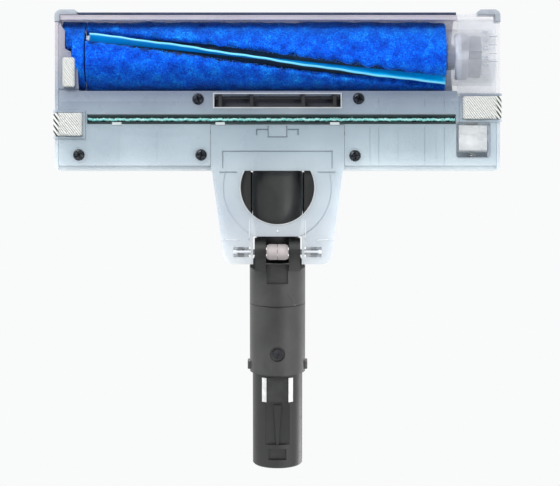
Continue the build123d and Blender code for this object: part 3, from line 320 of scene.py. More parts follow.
def gloss_blade():
    """Saturated blue flexible blade with a polished skin, a faint blue glow over all of it that stands in
    for light, and a painted cyan highlight along its tip.
    """
    # painted light: the emission makes the whole blade glow a little though it is no lamp
    f = Finish("blue_blade", (0.0, 0.33, 0.95), 0.16, Coat_Weight=0.6, Coat_Roughness=0.08,
               Emission_Strength=0.16)
    f.shader.inputs["Emission Color"].default_value = (0.0, 0.45, 1.0, 1)
    axis = middle("roller_core")
    across = f.nodes.new("ShaderNodeVectorMath")
    across.operation = "MULTIPLY"
    across.inputs[1].default_value = (0, 1, 1)
    away = f.nodes.new("ShaderNodeVectorMath")
    away.operation = "DISTANCE"
    away.inputs[1].default_value = (0, axis.y, axis.z)
    reach = f.nodes.new("ShaderNodeMapRange")
    reach.inputs["From Min"].default_value = 0.0155
    reach.inputs["From Max"].default_value = 0.0224
    f.links.new(f.place, across.inputs[0])
    f.links.new(across.outputs["Vector"], away.inputs[0])
    f.links.new(away.outputs["Value"], reach.inputs["Value"])
    # painted highlight: the colour turns paler and cyan towards the tip's radius
    height = f.ramp(reach.outputs[0], [(0.0, (0.0, 0.34, 0.95)), (0.66, (0.0, 0.55, 1.0)),
                                       (0.86, (0.05, 0.72, 1.0)), (0.96, (0.35, 0.94, 1.0))])
    streaks = f.ramp(f.noise(0.02, 3.0, (1, 3, 3)), [(0.3, (0.88, 0.90, 0.94)), (0.7, (1.1, 1.08, 1.04))])
    f.colour(f.mixed(height, streaks, 1.0, "MULTIPLY"))
    f.roughness(f.noise(0.003, 6.0, (0.3, 4, 4)), 0.10, 0.28)
    f.bump(f.noise(0.0015, 3.0, (0.2, 3, 3)), 0.00002, 0.5)
    return f.material


def pile():
    """Turquoise bristle pile, paler at the tips."""
    f = Finish("turquoise_pile", (0.10, 0.52, 0.52), 0.6, Sheen_Weight=0.3, Sheen_Roughness=0.4)
    f.colour(f.ramp(f.noise(0.0016, 3.0, roughness=0.7),
                    [(0.28, (0.10, 0.52, 0.50)), (0.48, (0.42, 0.90, 0.86)), (0.70, (0.85, 1.0, 0.98))]))
    return f.material


def knit():
    """Off-white knitted pad: slanting wales with uneven threads, dark gaps where it turns up the side."""
    f = Finish("pad_knit", (0.78, 0.78, 0.74), 0.85, Sheen_Weight=0.3, Sheen_Roughness=0.5)
    slant = math.radians(38)
    wale = f.waves(0.0012, (0, 0, slant), 1.2)
    course = f.waves(0.0008, (0, 0, slant + math.radians(80)), 1.5)
    base = f.ramp(wale, [(0.10, (0.42, 0.44, 0.46)), (0.35, (0.74, 0.75, 0.72)), (0.8, (0.88, 0.88, 0.85))])
    threads = f.ramp(f.noise(0.0011, 3.0, roughness=0.8), [(0.34, (0.42, 0.43, 0.44)), (0.50, (1, 1, 1))])
    flat = f.mixed(base, threads, 0.7, "MULTIPLY")
    gaps = f.ramp(f.waves(0.0022, (0, 0, slant), 0.8),
                  [(0.34, (0.03, 0.035, 0.04)), (0.50, (0.80, 0.81, 0.78))])
    split = f.nodes.new("ShaderNodeSeparateXYZ")
    f.links.new(f.place, split.inputs[0])
    size = f.nodes.new("ShaderNodeMath")
    size.operation = "ABSOLUTE"
    f.links.new(split.outputs["X"], size.inputs[0])
    turned = f.nodes.new("ShaderNodeMapRange")
    turned.inputs["From Min"].default_value = 0.1365
    turned.inputs["From Max"].default_value = 0.1385
    f.links.new(size.outputs[0], turned.inputs["Value"])
    f.colour(f.mixed(flat, gaps, turned.outputs[0]))
    f.bump(wale, 0.00025, 0.8)
    f.bump(course, 0.00015, 0.6)
    f.bump(f.noise(0.0004, 3.0), 0.0001, 0.5)
    return f.material


MATERIALS = {
    "clear_shell": frosted_shell("clear_shell", 0.24, 0.9),
    "spigot_plastic": dark_plastic("spigot_plastic", (0.007, 0.007, 0.007), (0.013, 0.013, 0.013)),
    "frosted_shell": frosted_shell(),
    "navy_strip": rubber("navy_strip", (0.012, 0.022, 0.055), (0.03, 0.045, 0.10)),
    "pale_bumper": rubber("pale_bumper", (0.27, 0.30, 0.33), (0.35, 0.38, 0.42)),
    "pad_knit": knit(),
    "dark_carrier": dark_plastic("dark_carrier", (0.012, 0.024, 0.026), (0.040, 0.058, 0.060), (0.4, 0.6)),
    "turquoise_pile": pile(),
    "black_steel": metal("black_steel", (0.035, 0.036, 0.040), (0.10, 0.10, 0.11), (0.22, 0.40), (1, 1, 1)),
    "dark_plastic": dark_plastic(),
    "black_rubber": rubber("black_rubber", (0.010, 0.010, 0.010), (0.028, 0.028, 0.028)),
    "board": pale_plastic("board", (0.01, 0.10, 0.04), (0.02, 0.20, 0.08)),
    "grey_plastic": pale_plastic("grey_plastic", (0.22, 0.23, 0.25), (0.34, 0.35, 0.37)),
    # a lighter copy of the screws' black steel that paints glints on the screw heads
    "screw_steel": metal("screw_steel", (0.08, 0.085, 0.09), (0.24, 0.25, 0.26), (0.18, 0.36), (1, 1, 1)),
    "boot_plastic": dark_plastic("boot_plastic", (0.052, 0.054, 0.053), (0.088, 0.090, 0.088), (0.28, 0.42)),
    "grey_dark": dark_plastic("grey_dark", (0.060, 0.058, 0.075), (0.11, 0.105, 0.13), (0.35, 0.5)),
    "core_grey": pale_plastic("core_grey", (0.20, 0.21, 0.24), (0.32, 0.33, 0.37)),
    "tray_shell": pale_plastic("tray_shell", (0.42, 0.46, 0.52), (0.54, 0.58, 0.64)),
    "glint_plastic": pale_plastic("glint_plastic", (0.80, 0.83, 0.86), (0.97, 0.98, 1.0), (0.12, 0.25)),
    "steel": metal("steel", (0.62, 0.62, 0.61), (0.85, 0.85, 0.84)),
    "core_tube": metal("core_tube", (0.40, 0.40, 0.42), (0.56, 0.56, 0.58)),
    "blue_plush": plush(),
    "blue_blade": gloss_blade(),
    "white_plastic": pale_plastic("white_plastic", (0.60, 0.62, 0.63), (0.78, 0.79, 0.79)),
    "wheel_plastic": pale_plastic("wheel_plastic", (0.50, 0.46, 0.46), (0.66, 0.61, 0.61)),
    "contact_metal": metal("contact_metal", (0.70, 0.70, 0.69), (0.92, 0.92, 0.91), (0.12, 0.25)),
}


# nodes whose finish differs a little from that of their slot
FINISH_OF = {"end_cap": "clear_shell", "connector_spigot": "spigot_plastic",
             "contact_holder": "black_rubber"}


def dress_nodes():
    """Every CAD node takes the material of its slot in the record."""
    for subpart in frame["record"]["subparts"]:
        piece = NODES[subpart["node"]]
        materials = piece.data.materials
        material = MATERIALS[subpart["material_slot"]]
        material = MATERIALS.get(FINISH_OF.get(subpart["node"]), material)
        if not materials:
            materials.append(material)
        for index in range(len(piece.material_slots)):
            piece.material_slots[index].material = material


# ------------------------------------------------------------------ mesh helpers
def piece_from(name, vertices, faces, slot, body, replaced=(), smooth=True):
    """A new mesh piece with its slot's material, riding on a body in place of some CAD nodes."""
    mesh = bpy.data.meshes.new(name)
    mesh.from_pydata([tuple(v) for v in vertices], [], faces)
    mesh.materials.append(MATERIALS[slot])
    mesh.polygons.foreach_set("use_smooth", [smooth] * len(mesh.polygons))
    mesh.validate()
    mesh.update()
    piece = bpy.data.objects.new(name, mesh)
    bpy.context.scene.collection.objects.link(piece)
    if body:
        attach(piece, body)
    if replaced:
        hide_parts(*replaced)
    return piece


def loft_rings(rings, closed_ends=True):
    """Vertices and faces of a closed skin through rings with the same number of points."""
    count = len(rings[0])
    vertices = [point for ring in rings for point in ring]
    faces = []
    for row in range(len(rings) - 1):
        for index in range(count):
            after = (index + 1) % count
            a, b = row * count + index, row * count + after
            faces.append((a, b, b + count, a + count))
    if closed_ends:
        faces.append(tuple(range(count - 1, -1, -1)))
        start = (len(rings) - 1) * count
        faces.append(tuple(range(start, start + count)))
    return vertices, faces


def loft_loop(rings):
    """Vertices and faces of a skin whose last ring joins its first one."""
    vertices, faces = loft_rings(rings, closed_ends=False)
    count = len(rings[0])
    last = (len(rings) - 1) * count
    faces += [(i, last + i, last + (i + 1) % count, (i + 1) % count) for i in range(count)]
    return vertices, faces


def merged(*skins):
    """Vertices and faces of several skins in one."""
    vertices, faces = [], []
    for more_vertices, more_faces in skins:
        start = len(vertices)
        vertices.extend(more_vertices)
        faces.extend(tuple(index + start for index in face) for face in more_faces)
    return vertices, faces


def hoop(centre, across, up, radius, count=10):
    """Points round a centre, in the plane of across and up."""
    return [centre + (across * math.cos(math.tau * k / count) + up * math.sin(math.tau * k / count)) * radius
            for k in range(count)]


# ------------------------------------------------------------------ roller
ROLLER_AXIS = middle("roller_core")
ROLLER_LEFT, ROLLER_RIGHT = span("roller_core", 0)
ROLLER_RIGHT += 0.4 * MM
PLUSH_R = (span("roller_plush", 2)[1] - span("roller_plush", 2)[0]) / 2
CORE_R = (span("roller_core", 2)[1] - span("roller_core", 2)[0]) / 2
RING_R = (span("roller_end_ring", 2)[1] - span("roller_end_ring", 2)[0]) / 2
BLADE_START, BLADE_TWIST = math.radians(-39.0), math.radians(92.0)
GAP_HALF = 5.4 * MM


def blade_angle(x):
    """How far the first blade has turned from straight down at x."""
    return BLADE_START + BLADE_TWIST * (x - ROLLER_LEFT) / (ROLLER_RIGHT - ROLLER_LEFT)


def on_roller(x, radius, angle):
    """A point at radius and angle, the angle counted from straight down towards the rear."""
    return Vector((x, ROLLER_AXIS.y + radius * math.sin(angle), ROLLER_AXIS.z - radius * math.cos(angle)))


def outward(x, angle):
    """The direction straight away from the roller's axis."""
    return (on_roller(x, 1, angle) - on_roller(x, 0, angle)).normalized()


def pile_height(x, angle, seed=0.0):
    """How the pile swells and parts: soft clumps and finer tufts, within -1 and +1."""
    place = Vector((x * 95, math.sin(angle) * 2.3, math.cos(angle) * 2.3 + seed))
    clump = noise.noise(place)
    swirl = noise.noise(Vector((x * 240, math.sin(angle) * 5.6 + clump, math.cos(angle) * 5.6 + seed)))
    return max(-1.0, min(1.0, 1.3 * clump + 0.6 * swirl))


def plush_half(turn):
    """Rings of one half of the roller's pile, between the two blades."""
    rings = []
    length_steps, arc_steps = ((300, 84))
    shoulder = 2.2 * MM
    for row in range(length_steps + 1):
        x = ROLLER_LEFT + (ROLLER_RIGHT - ROLLER_LEFT) * row / length_steps
        end = min(x - ROLLER_LEFT, ROLLER_RIGHT - x)
        tuck = max(0.0, 1 - end / (1.2 * MM)) ** 2 * 0.4 * MM
        base = blade_angle(x) + turn
        edge = math.asin(GAP_HALF / PLUSH_R) * (1.0 + 0.42 * noise.noise(Vector((x * 150, turn, 3.0))))
        ring = []
        for step in range(arc_steps + 1):
            share = step / arc_steps
            angle = edge + (math.pi - 2 * edge) * share
            rim = min(share, 1 - share) * (math.pi - 2 * edge) * PLUSH_R
            drop = max(0.0, 1 - rim / shoulder) ** 2 * 1.6 * MM
            swell = pile_height(x, base + angle, turn)
            radius = PLUSH_R - 0.35 * MM + 0.65 * MM * swell - drop - tuck
            ring.append(on_roller(x, radius, base + angle))
        inner = math.asin(GAP_HALF / (CORE_R + 0.15 * MM))
        for step in range(9):
            angle = math.pi - inner - (math.pi - 2 * inner) * step / 8
            ring.append(on_roller(x, CORE_R + 0.15 * MM, base + angle))
        rings.append(ring)
    return rings


def tufts(places, length, width, rng, lean):
    """Closed three-sided tapering tufts: places are (root, outward direction, sideways direction)."""
    vertices, faces = [], []
    for root, out, side in places:
        across = out.cross(side).normalized()
        size = rng.uniform(0.75, 1.25)
        turn = rng.uniform(0, math.tau)
        tip = root + out * length * size
        tip += side * lean * rng.uniform(-1, 1)
        tip += across * lean * rng.uniform(-1, 1)
        start = len(vertices)
        for corner in range(3):
            spin = turn + corner * math.tau / 3
            vertices.append(root + (side * math.cos(spin) + across * math.sin(spin)) * width * size)
        vertices.append(tip)
        faces += [(start, start + 2, start + 1), (start, start + 1, start + 3),
                  (start + 1, start + 2, start + 3), (start + 2, start, start + 3)]
    return vertices, faces


TUFT_WIDTH = 0.34 * MM
ALONG_X = Vector((1, 0, 0))


def make_plush():
    """The roller's blue pile: two halves with tufts standing out of them, and the left end ring."""
    rng = random.Random(4)
    skins = []
    edge = math.asin(GAP_HALF / PLUSH_R)
    first, last = ROLLER_LEFT + 0.6 * MM, ROLLER_RIGHT - 0.6 * MM
    for turn in (0.0, math.pi):
        skins.append(loft_rings(plush_half(turn)))
        places = []
        for _ in range(21000):
            x = rng.uniform(first, last)
            angle = blade_angle(x) + turn + rng.uniform(edge + 0.04, math.pi - edge - 0.04)
            root = on_roller(x, PLUSH_R - 1.15 * MM + 0.65 * MM * pile_height(x, angle, turn), angle)
            places.append((root, outward(x, angle), ALONG_X))
        for _ in range(2400):
            x = rng.uniform(first, last)
            far = rng.random() < 0.5
            angle = blade_angle(x) + turn + (math.pi - edge + rng.uniform(-0.05, 0.04) if far
                                             else edge + rng.uniform(-0.04, 0.05))
            places.append((on_roller(x, PLUSH_R - 2.6 * MM, angle), outward(x, angle), ALONG_X))
        skins.append(tufts(places, 1.35 * MM, TUFT_WIDTH, rng, 0.6 * MM))
    piece_from("plush_sleeve", *merged(*skins), "blue_plush", "roller", ["roller_plush"])
    make_end_ring(rng)


def make_end_ring(rng):
    """The pile on the roller's left end, with rounded edges."""
    low, high = span("roller_end_ring", 0)
    width = high - low
    floor_r, crown, around = RING_R - 3.0 * MM, 2.0 * MM, 96
    stations = [(low, CORE_R + 0.1 * MM)]
    for step in range(24):
        share = step / 23
        bulge = math.sin(math.pi * share) ** 0.35 if 0 < share < 1 else 0.0
        stations.append((low + width * share, floor_r + crown * bulge))
    stations.append((high, CORE_R + 0.1 * MM))
    rings = []
    for x, radius in stations:
        ring = []
        for step in range(around):
            angle = math.tau * step / around
            swell = pile_height(x, angle, 7.0) * 0.5 * MM if radius > CORE_R + 1 * MM else 0.0
            ring.append(on_roller(x, radius + swell, angle))
        rings.append(ring)
    places = []
    for _ in range(3400):
        x = rng.uniform(low + 0.8 * MM, high - 0.8 * MM)
        share = (x - low) / width
        angle = rng.uniform(0, math.tau)
        radius = floor_r + crown * math.sin(math.pi * share) ** 0.35 - 1.2 * MM
        root = on_roller(x, radius + pile_height(x, angle, 7.0) * 0.5 * MM, angle)
        places.append((root, outward(x, angle), ALONG_X))
    skin = merged(loft_loop(rings), tufts(places, 1.3 * MM, TUFT_WIDTH, rng, 0.5 * MM))
    piece_from("plush_end_ring", *skin, "blue_plush", "roller", ["roller_end_ring"])


def make_corner_seal():
    """The fixed plush seal at the left end, cut away over the sole's ear and carried round to the rear."""
    low, high = span("corner_seal", 0)
    rng = random.Random(8)
    inner = PLUSH_R - 3.9 * MM
    front_end = math.radians(-97)

    def lower_end(x):
        ear = math.radians(-27.0) * min(1.0, max(0.0, (-132.4 * MM - x) / (1.4 * MM)))
        past = min(1.0, max(0.0, (x + 129.5 * MM) / (0.4 * MM)))
        return math.radians(-11.8) + ear + math.radians(88.0) * past

    rings = []
    steps, arc = 96, 78
    for row in range(steps + 1):
        x = low + (high - low) * row / steps
        side = min(x - low, high - x)
        tuck = 0.5 * MM * max(0.0, 1 - side / (0.9 * MM)) ** 2
        end = lower_end(x)
        ring = []
        for step in range(arc + 1):
            angle = end + (front_end - end) * step / arc
            rim = min(step, arc - step) / arc * 1.4 * PLUSH_R
            drop = 1.3 * MM * max(0.0, 1 - rim / (1.8 * MM)) ** 2
            swell = 0.5 * MM * pile_height(x, angle, 5.0)
            ring.append(on_roller(x, PLUSH_R - 0.3 * MM + swell - drop - tuck, angle))
        for step in range(arc, -1, -3):
            ring.append(on_roller(x, inner, end + (front_end - end) * step / arc))
        rings.append(ring)
    places = []
    for _ in range(4200):
        x = rng.uniform(low + 0.4 * MM, high - 0.2 * MM)
        angle = rng.uniform(math.radians(-95), lower_end(x) - 0.03)
        places.append((on_roller(x, PLUSH_R - 1.2 * MM, angle), outward(x, angle), ALONG_X))
    skin = merged(loft_rings(rings), tufts(places, 1.35 * MM, TUFT_WIDTH, rng, 0.5 * MM))
    piece_from("plush_corner", *skin, "blue_plush", "head", ["corner_seal"])


def make_blades():
    """Two flexible fins along helices: thick at the root, rounded at the tip, slightly wavy."""
    root_r = 15.25 * MM
    tip_r = PLUSH_R - 0.1 * MM
    half_profile = [(root_r, 0.95), (root_r + 1.2 * MM, 0.95), (root_r + 2.2 * MM, 0.70),
                    (tip_r - 1.4 * MM, 0.60), (tip_r - 0.5 * MM, 0.72), (tip_r - 0.12 * MM, 0.50),
                    (tip_r, 0.0)]
    outline = half_profile + [(radius, -half) for radius, half in reversed(half_profile[:-1])]
    steps = 220
    for number, turn in ((1, 0.0), (2, math.pi)):
        low, high = span("blade_%d" % number, 0)
        rings = []
        for row in range(steps + 1):
            x = low + (high - low) * row / steps
            angle = blade_angle(x) + turn
            sway = 0.25 * MM * math.sin(x * 130) + 0.12 * MM * math.sin(x * 410 + 1.0)
            ring = []
            for radius, half in outline:
                lean = sway * (radius - root_r) / (tip_r - root_r)
                across = half * MM + lean
                ring.append(on_roller(x, radius, angle + math.atan2(across, radius)))
            rings.append(ring)
        piece_from("blade_fin_%d" % number, *loft_rings(rings), "blue_blade", "roller",
                   ["blade_%d" % number])


# ------------------------------------------------------------------ pile strip
def clump_at(x):
    """How far the bristle clumps lean to one side at x."""
    return 0.5 * math.sin(x * 1450) + 0.5 * math.sin(x * 610 + 2) + 0.4 * math.sin(x * 3300 + 1)


def make_pile_strip():
    """A narrow band of turquoise pile standing in wavy clumps on a dark woven backing."""
    rng = random.Random(11)
    low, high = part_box("pile_strip")
    low, high = Vector(low), Vector(high)
    backing = low.z + 3.0 * MM
    rings = []
    steps = 260
    for row in range(steps + 1):
        x = low.x + (high.x - low.x) * row / steps
        wave = 0.14 * MM * math.sin(row * 2.1)
        rings.append([Vector((x, low.y + 0.1 * MM, high.z)), Vector((x, high.y - 0.1 * MM, high.z)),
                      Vector((x, high.y - 0.1 * MM, backing + wave)),
                      Vector((x, (low.y + high.y) / 2, backing - 0.4 * MM - wave)),
                      Vector((x, low.y + 0.1 * MM, backing + wave))])
    piece_from("pile_backing", *loft_rings(rings), "dark_carrier", "head", ["pile_strip"])
    rings = []
    for row in range(2 * steps + 1):
        x = low.x + 0.3 * MM + (high.x - low.x - 0.6 * MM) * row / (2 * steps)
        y = (low.y + high.y) / 2 + 0.35 * MM + 0.30 * MM * clump_at(x)
        half = (0.72 + 0.22 * noise.noise(Vector((x * 1100, 2.0, 0.0)))) * MM
        tip = low.z + (1.1 + 0.3 * noise.noise(Vector((x * 900, 7.0, 0.0)))) * MM
        rings.append([Vector((x, y - half * 0.8, backing)), Vector((x, y + half * 0.8, backing)),
                      Vector((x, y + half, tip + 0.5 * MM)), Vector((x, y + half * 0.4, tip)),
                      Vector((x, y - half * 0.4, tip)), Vector((x, y - half, tip + 0.5 * MM))])
    places = []
    count = 9500
    for index in range(count):
        x = low.x + 0.5 * MM + (high.x - low.x - 1.0 * MM) * (index + rng.random()) / count
        y = (low.y + high.y) / 2 + 0.35 * MM + rng.gauss(0, 0.36) * MM + 0.34 * MM * clump_at(x)
        y = min(max(y, low.y + 0.3 * MM), high.y - 0.3 * MM)
        places.append((Vector((x, y, backing + 0.2 * MM)), Vector((0, 0, -1)), ALONG_X))
    skin = merged(tufts(places, 2.3 * MM, 0.20 * MM, rng, 0.5 * MM), loft_rings(rings))
    piece_from("pile_band", *skin, "turquoise_pile", "head", ["pile_strip"])


def bar(low, high, chamfer):
    """Vertices and faces of a box with its lower edges chamfered."""
    (x0, y0, z0), (x1, y1, z1) = low, high
    c = chamfer
    rings = []
    for z, inset in ((z0, c), (z0 + c, 0.0), (z1, 0.0)):
        rings.append([Vector((x0 + inset, y0 + inset, z)), Vector((x1 - inset, y0 + inset, z)),
                      Vector((x1 - inset, y1 - inset, z)), Vector((x0 + inset, y1 - inset, z))])
    return loft_rings(rings)


def bars(name, boxes, slot, body="head", chamfer=0.0002):
    """One piece of several chamfered bars, each given by its low and high corners in millimetres."""
    skins = [bar([c * MM for c in low], [c * MM for c in high], chamfer) for low, high in boxes]
    return piece_from(name, *merged(*skins), slot, body, smooth=False)


def frame_bars(x0, x1, y0, y1, z0, z1, width, open_side=0):
    """Four bars round a rectangle in millimetres; open_side leaves out the bar on that side of X."""
    boxes = [((x0 - width, y0 - width, z0), (x1 + width, y0, z1)),
             ((x0 - width, y1, z0), (x1 + width, y1 + width, z1))]
    if open_side >= 0:
        boxes.append(((x0 - width, y0, z0), (x0, y1, z1)))
    if open_side <= 0:
        boxes.append(((x1, y0, z0), (x1 + width, y1, z1)))
    return boxes


def bead(name, path, radius, slot, body="head"):
    """A thin round bead along a path of points."""
    rings = []
    for index, point in enumerate(path):
        before, after = path[max(index - 1, 0)], path[min(index + 1, len(path) - 1)]
        along = (after - before).normalized()
        side = along.cross(Vector((0, 0, 1))).normalized()
        up = side.cross(along).normalized()
        rings.append(hoop(point, side, up, radius))
    return piece_from(name, *loft_rings(rings), slot, body)


def button(name, at, base_z, radius, slot, body="head"):
    """A low domed button on the underside, at (x, y) in millimetres."""
    rings = []
    for share, shrink in ((0.0, 1.0), (0.35, 0.96), (0.7, 0.76), (0.95, 0.36), (1.0, 0.10)):
        z = base_z + 0.5 - share * 0.55
        rings.append([Vector((at[0] + radius * shrink * math.cos(math.tau * k / 28),
                              at[1] + radius * shrink * math.sin(math.tau * k / 28), z)) * MM
                      for k in range(28)])
    return piece_from(name, *loft_rings(rings), slot, body)


# each screw's x and y in millimetres and how far its cross is turned in degrees
SOLE_SCREWS = ((-49.9, -89.4, 24), (51.1, -89.7, 62), (-124.9, -54.3, 10), (-48.0, -54.3, 55),
               (48.8, -53.8, 38))


def screw_arc(x, y, reach, z, angles):
    """Points at one reach from a screw's centre, in millimetres, at some angles."""
    return [Vector((x + reach * math.cos(a), y + reach * math.sin(a), z)) * MM for a in angles]


def make_screws():
    """Domed cross-recess screw heads in a steel lighter than the screws' own, which paints their glints: a
    bright-edged rim and four lobes between the arms of the cross.
    """
    skins = []
    for x, y, turn in SOLE_SCREWS:
        for quarter in range(4):
            centre = math.radians(turn + 90 * quarter)
            outer = [centre + math.radians(-33 + 66 * k / 11) for k in range(12)]
            inner = [centre + math.radians(-26 + 52 * k / 11) for k in range(11, -1, -1)]
            skins.append(loft_rings([screw_arc(x, y, 2.75 - 0.45 * share, z, outer)
                                     + screw_arc(x, y, 0.95 + 0.15 * share, z, inner)
                                     for share, z in ((0.0, 2.95), (0.4, 2.62), (1.0, 2.50))]))
        circle = [math.tau * k / 32 for k in range(32)]
        skins.append(loft_loop([screw_arc(x, y, radius, z, circle)
                                for radius, z in ((3.28, 2.9), (3.2, 2.55), (2.98, 2.5), (2.9, 2.9))]))
    # lighter steel than the screws: painted glints on the heads
    piece_from("screw_faces", *merged(*skins), "screw_steel", "head", smooth=False)


# ------------------------------------------------------------------ trim, in millimetres
SOLE_Z = 2.5


def make_pad_frames():
    """Raised frames round the side pads, open towards the casing's ends."""
    for side, end in ((-1, "left"), (1, "right")):
        low, high = [[c / MM for c in corner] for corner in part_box("glide_pad_" + end)]
        x0, x1 = (-139.4, high[0]) if side < 0 else (low[0], 139.4)
        boxes = frame_bars(x0, x1, low[1] - 0.15, high[1] + 0.15, 1.5, SOLE_Z + 0.15, 1.5, side)
        bars("pad_frame_" + end, boxes, "frosted_shell")


def make_mouth():
    """The suction mouth's raised white rim, which paints the highlight along the slot's edges, dark covers
    on its posts that paint the shade where they lie deep, and the dark plate behind them.
    """
    front, rear = -92.5, -84.4
    # a raised rim whose white paints the highlight along the slot's edges
    bars("mouth_rim_highlight", frame_bars(-39.7, 39.7, front, rear, 2.2, 3.0, 0.9), "white_plastic")
    # dark covers over the posts: painted shade where the posts lie deep
    bars("mouth_posts_shade", [((x - 1.15, front, 3.1), (x + 1.15, rear, 3.6)) for x in (-36, -16.25, 16.25, 36)],
         "dark_plastic")
    bars("mouth_back", [((-39.6, front + 0.2, 8.6), (39.6, rear - 0.2, 9.2))], "grey_dark")


def make_duct_returns():
    """Dark returns that close the gaps beside the flexible duct."""
    bars("duct_returns", [((side * 17.3 - 1.2, -44.4, 26.8), (side * 17.3 + 1.2, -14.5, 28.2))
                          for side in (-1, 1)], "dark_plastic")


def make_pin_bosses():
    """Bright beads on the cover that paint the pitch pins seen through it together with their highlights,
    with a round end each, and the gate dot.
    """
    for side, name in ((-1, "pin_boss_left"), (1, "pin_boss_right")):
        path = [Vector((side * (16.6 + 9.4 * k / 12), 6.6 + 0.1 * math.sin(k * 2.2), 2.85)) * MM
                for k in range(13)]
        # painted highlights: bright beads on the cover standing for the lit pitch pins behind it
        bead(name, path, 0.85 * MM, "glint_plastic")
        button(name.replace("boss", "end"), (side * 26.6, 6.7), 2.1, 1.35, "glint_plastic")
    button("gate_dot", (0, -6.3), 2.0, 0.8, "glint_plastic")


def make_cover_lines():
    """Fine bright lines that paint highlights across the neck cover's lobes and along the opening's sides.
    """
    for side, name in ((-1, "lobe_line_left"), (1, "lobe_line_right")):
        # painted highlights: bright beads where light catches the lobes' edges and the opening's sides
        path = [Vector((side * x, y, 2.25)) * MM for x, y in
                ((24.5, -0.6), (26.5, -0.7), (28.5, -0.8), (30.5, -0.9), (32.5, -1.0))]
        bead(name, path, 0.28 * MM, "glint_plastic")
        path = [Vector((side * 17.7, -13.5 + 12.5 * k / 6, 2.25)) * MM for k in range(7)]
        bead(name.replace("lobe", "rib"), path, 0.3 * MM, "glint_plastic")


def make_cap_core():
    """The hub that shows through the end cap, in two sections: a bright one that paints the hub's highlight
    and a darker one that paints its shaded side, and the cap's short ribs.
    """
    # painted light and shade on the hub: a bright lit section and a darker shaded section
    for name, x0, x1, radius, slot in (("cap_core_highlight", 112.6, 121.0, 14.6, "glint_plastic"),
                                       ("cap_core_shade", 121.0, 129.4, 13.4, "core_grey")):
        rings = []
        for step in range(13):
            x = (x0 + (x1 - x0) * step / 12) * MM
            outer = radius * MM + 0.9 * MM * math.sin(math.pi * step / 12) ** 0.5
            inner = radius * MM - 1.6 * MM
            rings.append([on_roller(x, outer, math.radians(-72 + 144 * k / 32)) for k in range(33)]
                         + [on_roller(x, inner, math.radians(72 - 144 * k / 32)) for k in range(33)])
        piece_from(name, *loft_rings(rings), slot, "end_cap")
    wide = [((129.6, y - 0.7, 2.55), (132.4, y + 0.7, 3.1)) for y in (-131.5, -126.5, -121.2, -115.9, -111)]
    thin = [((133.2, y - 0.2, 2.55), (138.2, y + 0.2, 3.1)) for y in (-128.8, -123.6, -118.2, -113)]
    bars("cap_ribs", wide + thin, "tray_shell", "end_cap")


def make_bumper_strip():
    """The rubber strip along the front edge."""
    strip = bars("bumper_strip", [((-125.6, -144.0, 3.15), (112.4, -142.35, 13.5))], "navy_strip",
                 chamfer=0.35 * MM)
    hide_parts("front_strip")


def make_latch_tray():
    """Walls of the pocket that the latch sits in."""
    bars("latch_tray", [((112.3, -56.2, 11.9), (134.2, -52.2, 12.6)),
                        ((132.2, -73.6, 4.6), (134.2, -52.2, 5.4)),
                        ((112.3, -52.9, 4.6), (132.2, -52.2, 5.4))], "tray_shell")


def make_pile_tabs():
    """Tabs that hold the pile strip's carrier."""
    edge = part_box("pile_carrier")[1][1] / MM
    bars("pile_tabs", [((x - 3, edge - 1.0, 1.9), (x + 3, edge + 0.9, SOLE_Z + 0.1))
                       for x in (-101, -36, 36)], "white_plastic")


def make_opening_bead():
    """A bright bead along the arc of the opening under the duct."""
    centre, radius = Vector((0, -33.8, 2.55)), 23.5
    arc = []
    for step in range(73):
        angle = math.radians(-27 + 234 * step / 72)
        arc.append((centre + Vector((math.cos(angle), math.sin(angle), 0)) * radius) * MM)
    bead("opening_bead", arc, 0.42 * MM, "white_plastic")


def make_trim():
    """Raised frames, rims, lines and tabs on the underside."""
    make_pad_frames()
    make_mouth()
    make_duct_returns()
    make_pin_bosses()
    make_cover_lines()
    make_cap_core()
    make_bumper_strip()
    make_latch_tray()
    make_pile_tabs()
    make_opening_bead()


# ------------------------------------------------------------------ glide pads
def pad_skin(name, node, outline):
    """A thin stuffed pad: outline is a closed list of (across, down) swept along Y with soft ends."""
    low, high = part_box(node)
    steps = 26
    rings = []
    for row in range(steps + 1):
        share = row / steps
        y = low[1] + (high[1] - low[1]) * share
        end = min(share, 1 - share) * (high[1] - low[1])
        pinch = 0.9 * MM * max(0.0, 1 - end / (1.2 * MM)) ** 2
        centre = Vector((sum(p[0] for p in outline), 0, sum(p[1] for p in outline))) / len(outline)
        ring = []
        for x, z in outline:
            inward = Vector((centre.x - x, 0, centre.z - z))
            if inward.length > 0:
                inward = inward.normalized() * pinch
            dimple = 0.05 * MM * math.sin(x * 2600 + y * 1900)
            ring.append(Vector((x + inward.x, y, max(low[2], z + inward.z + abs(dimple) * (z < 1.5 * MM)))))
        rings.append(ring)
    piece = piece_from(name, *loft_rings(rings), "pad_knit", "head", [node])


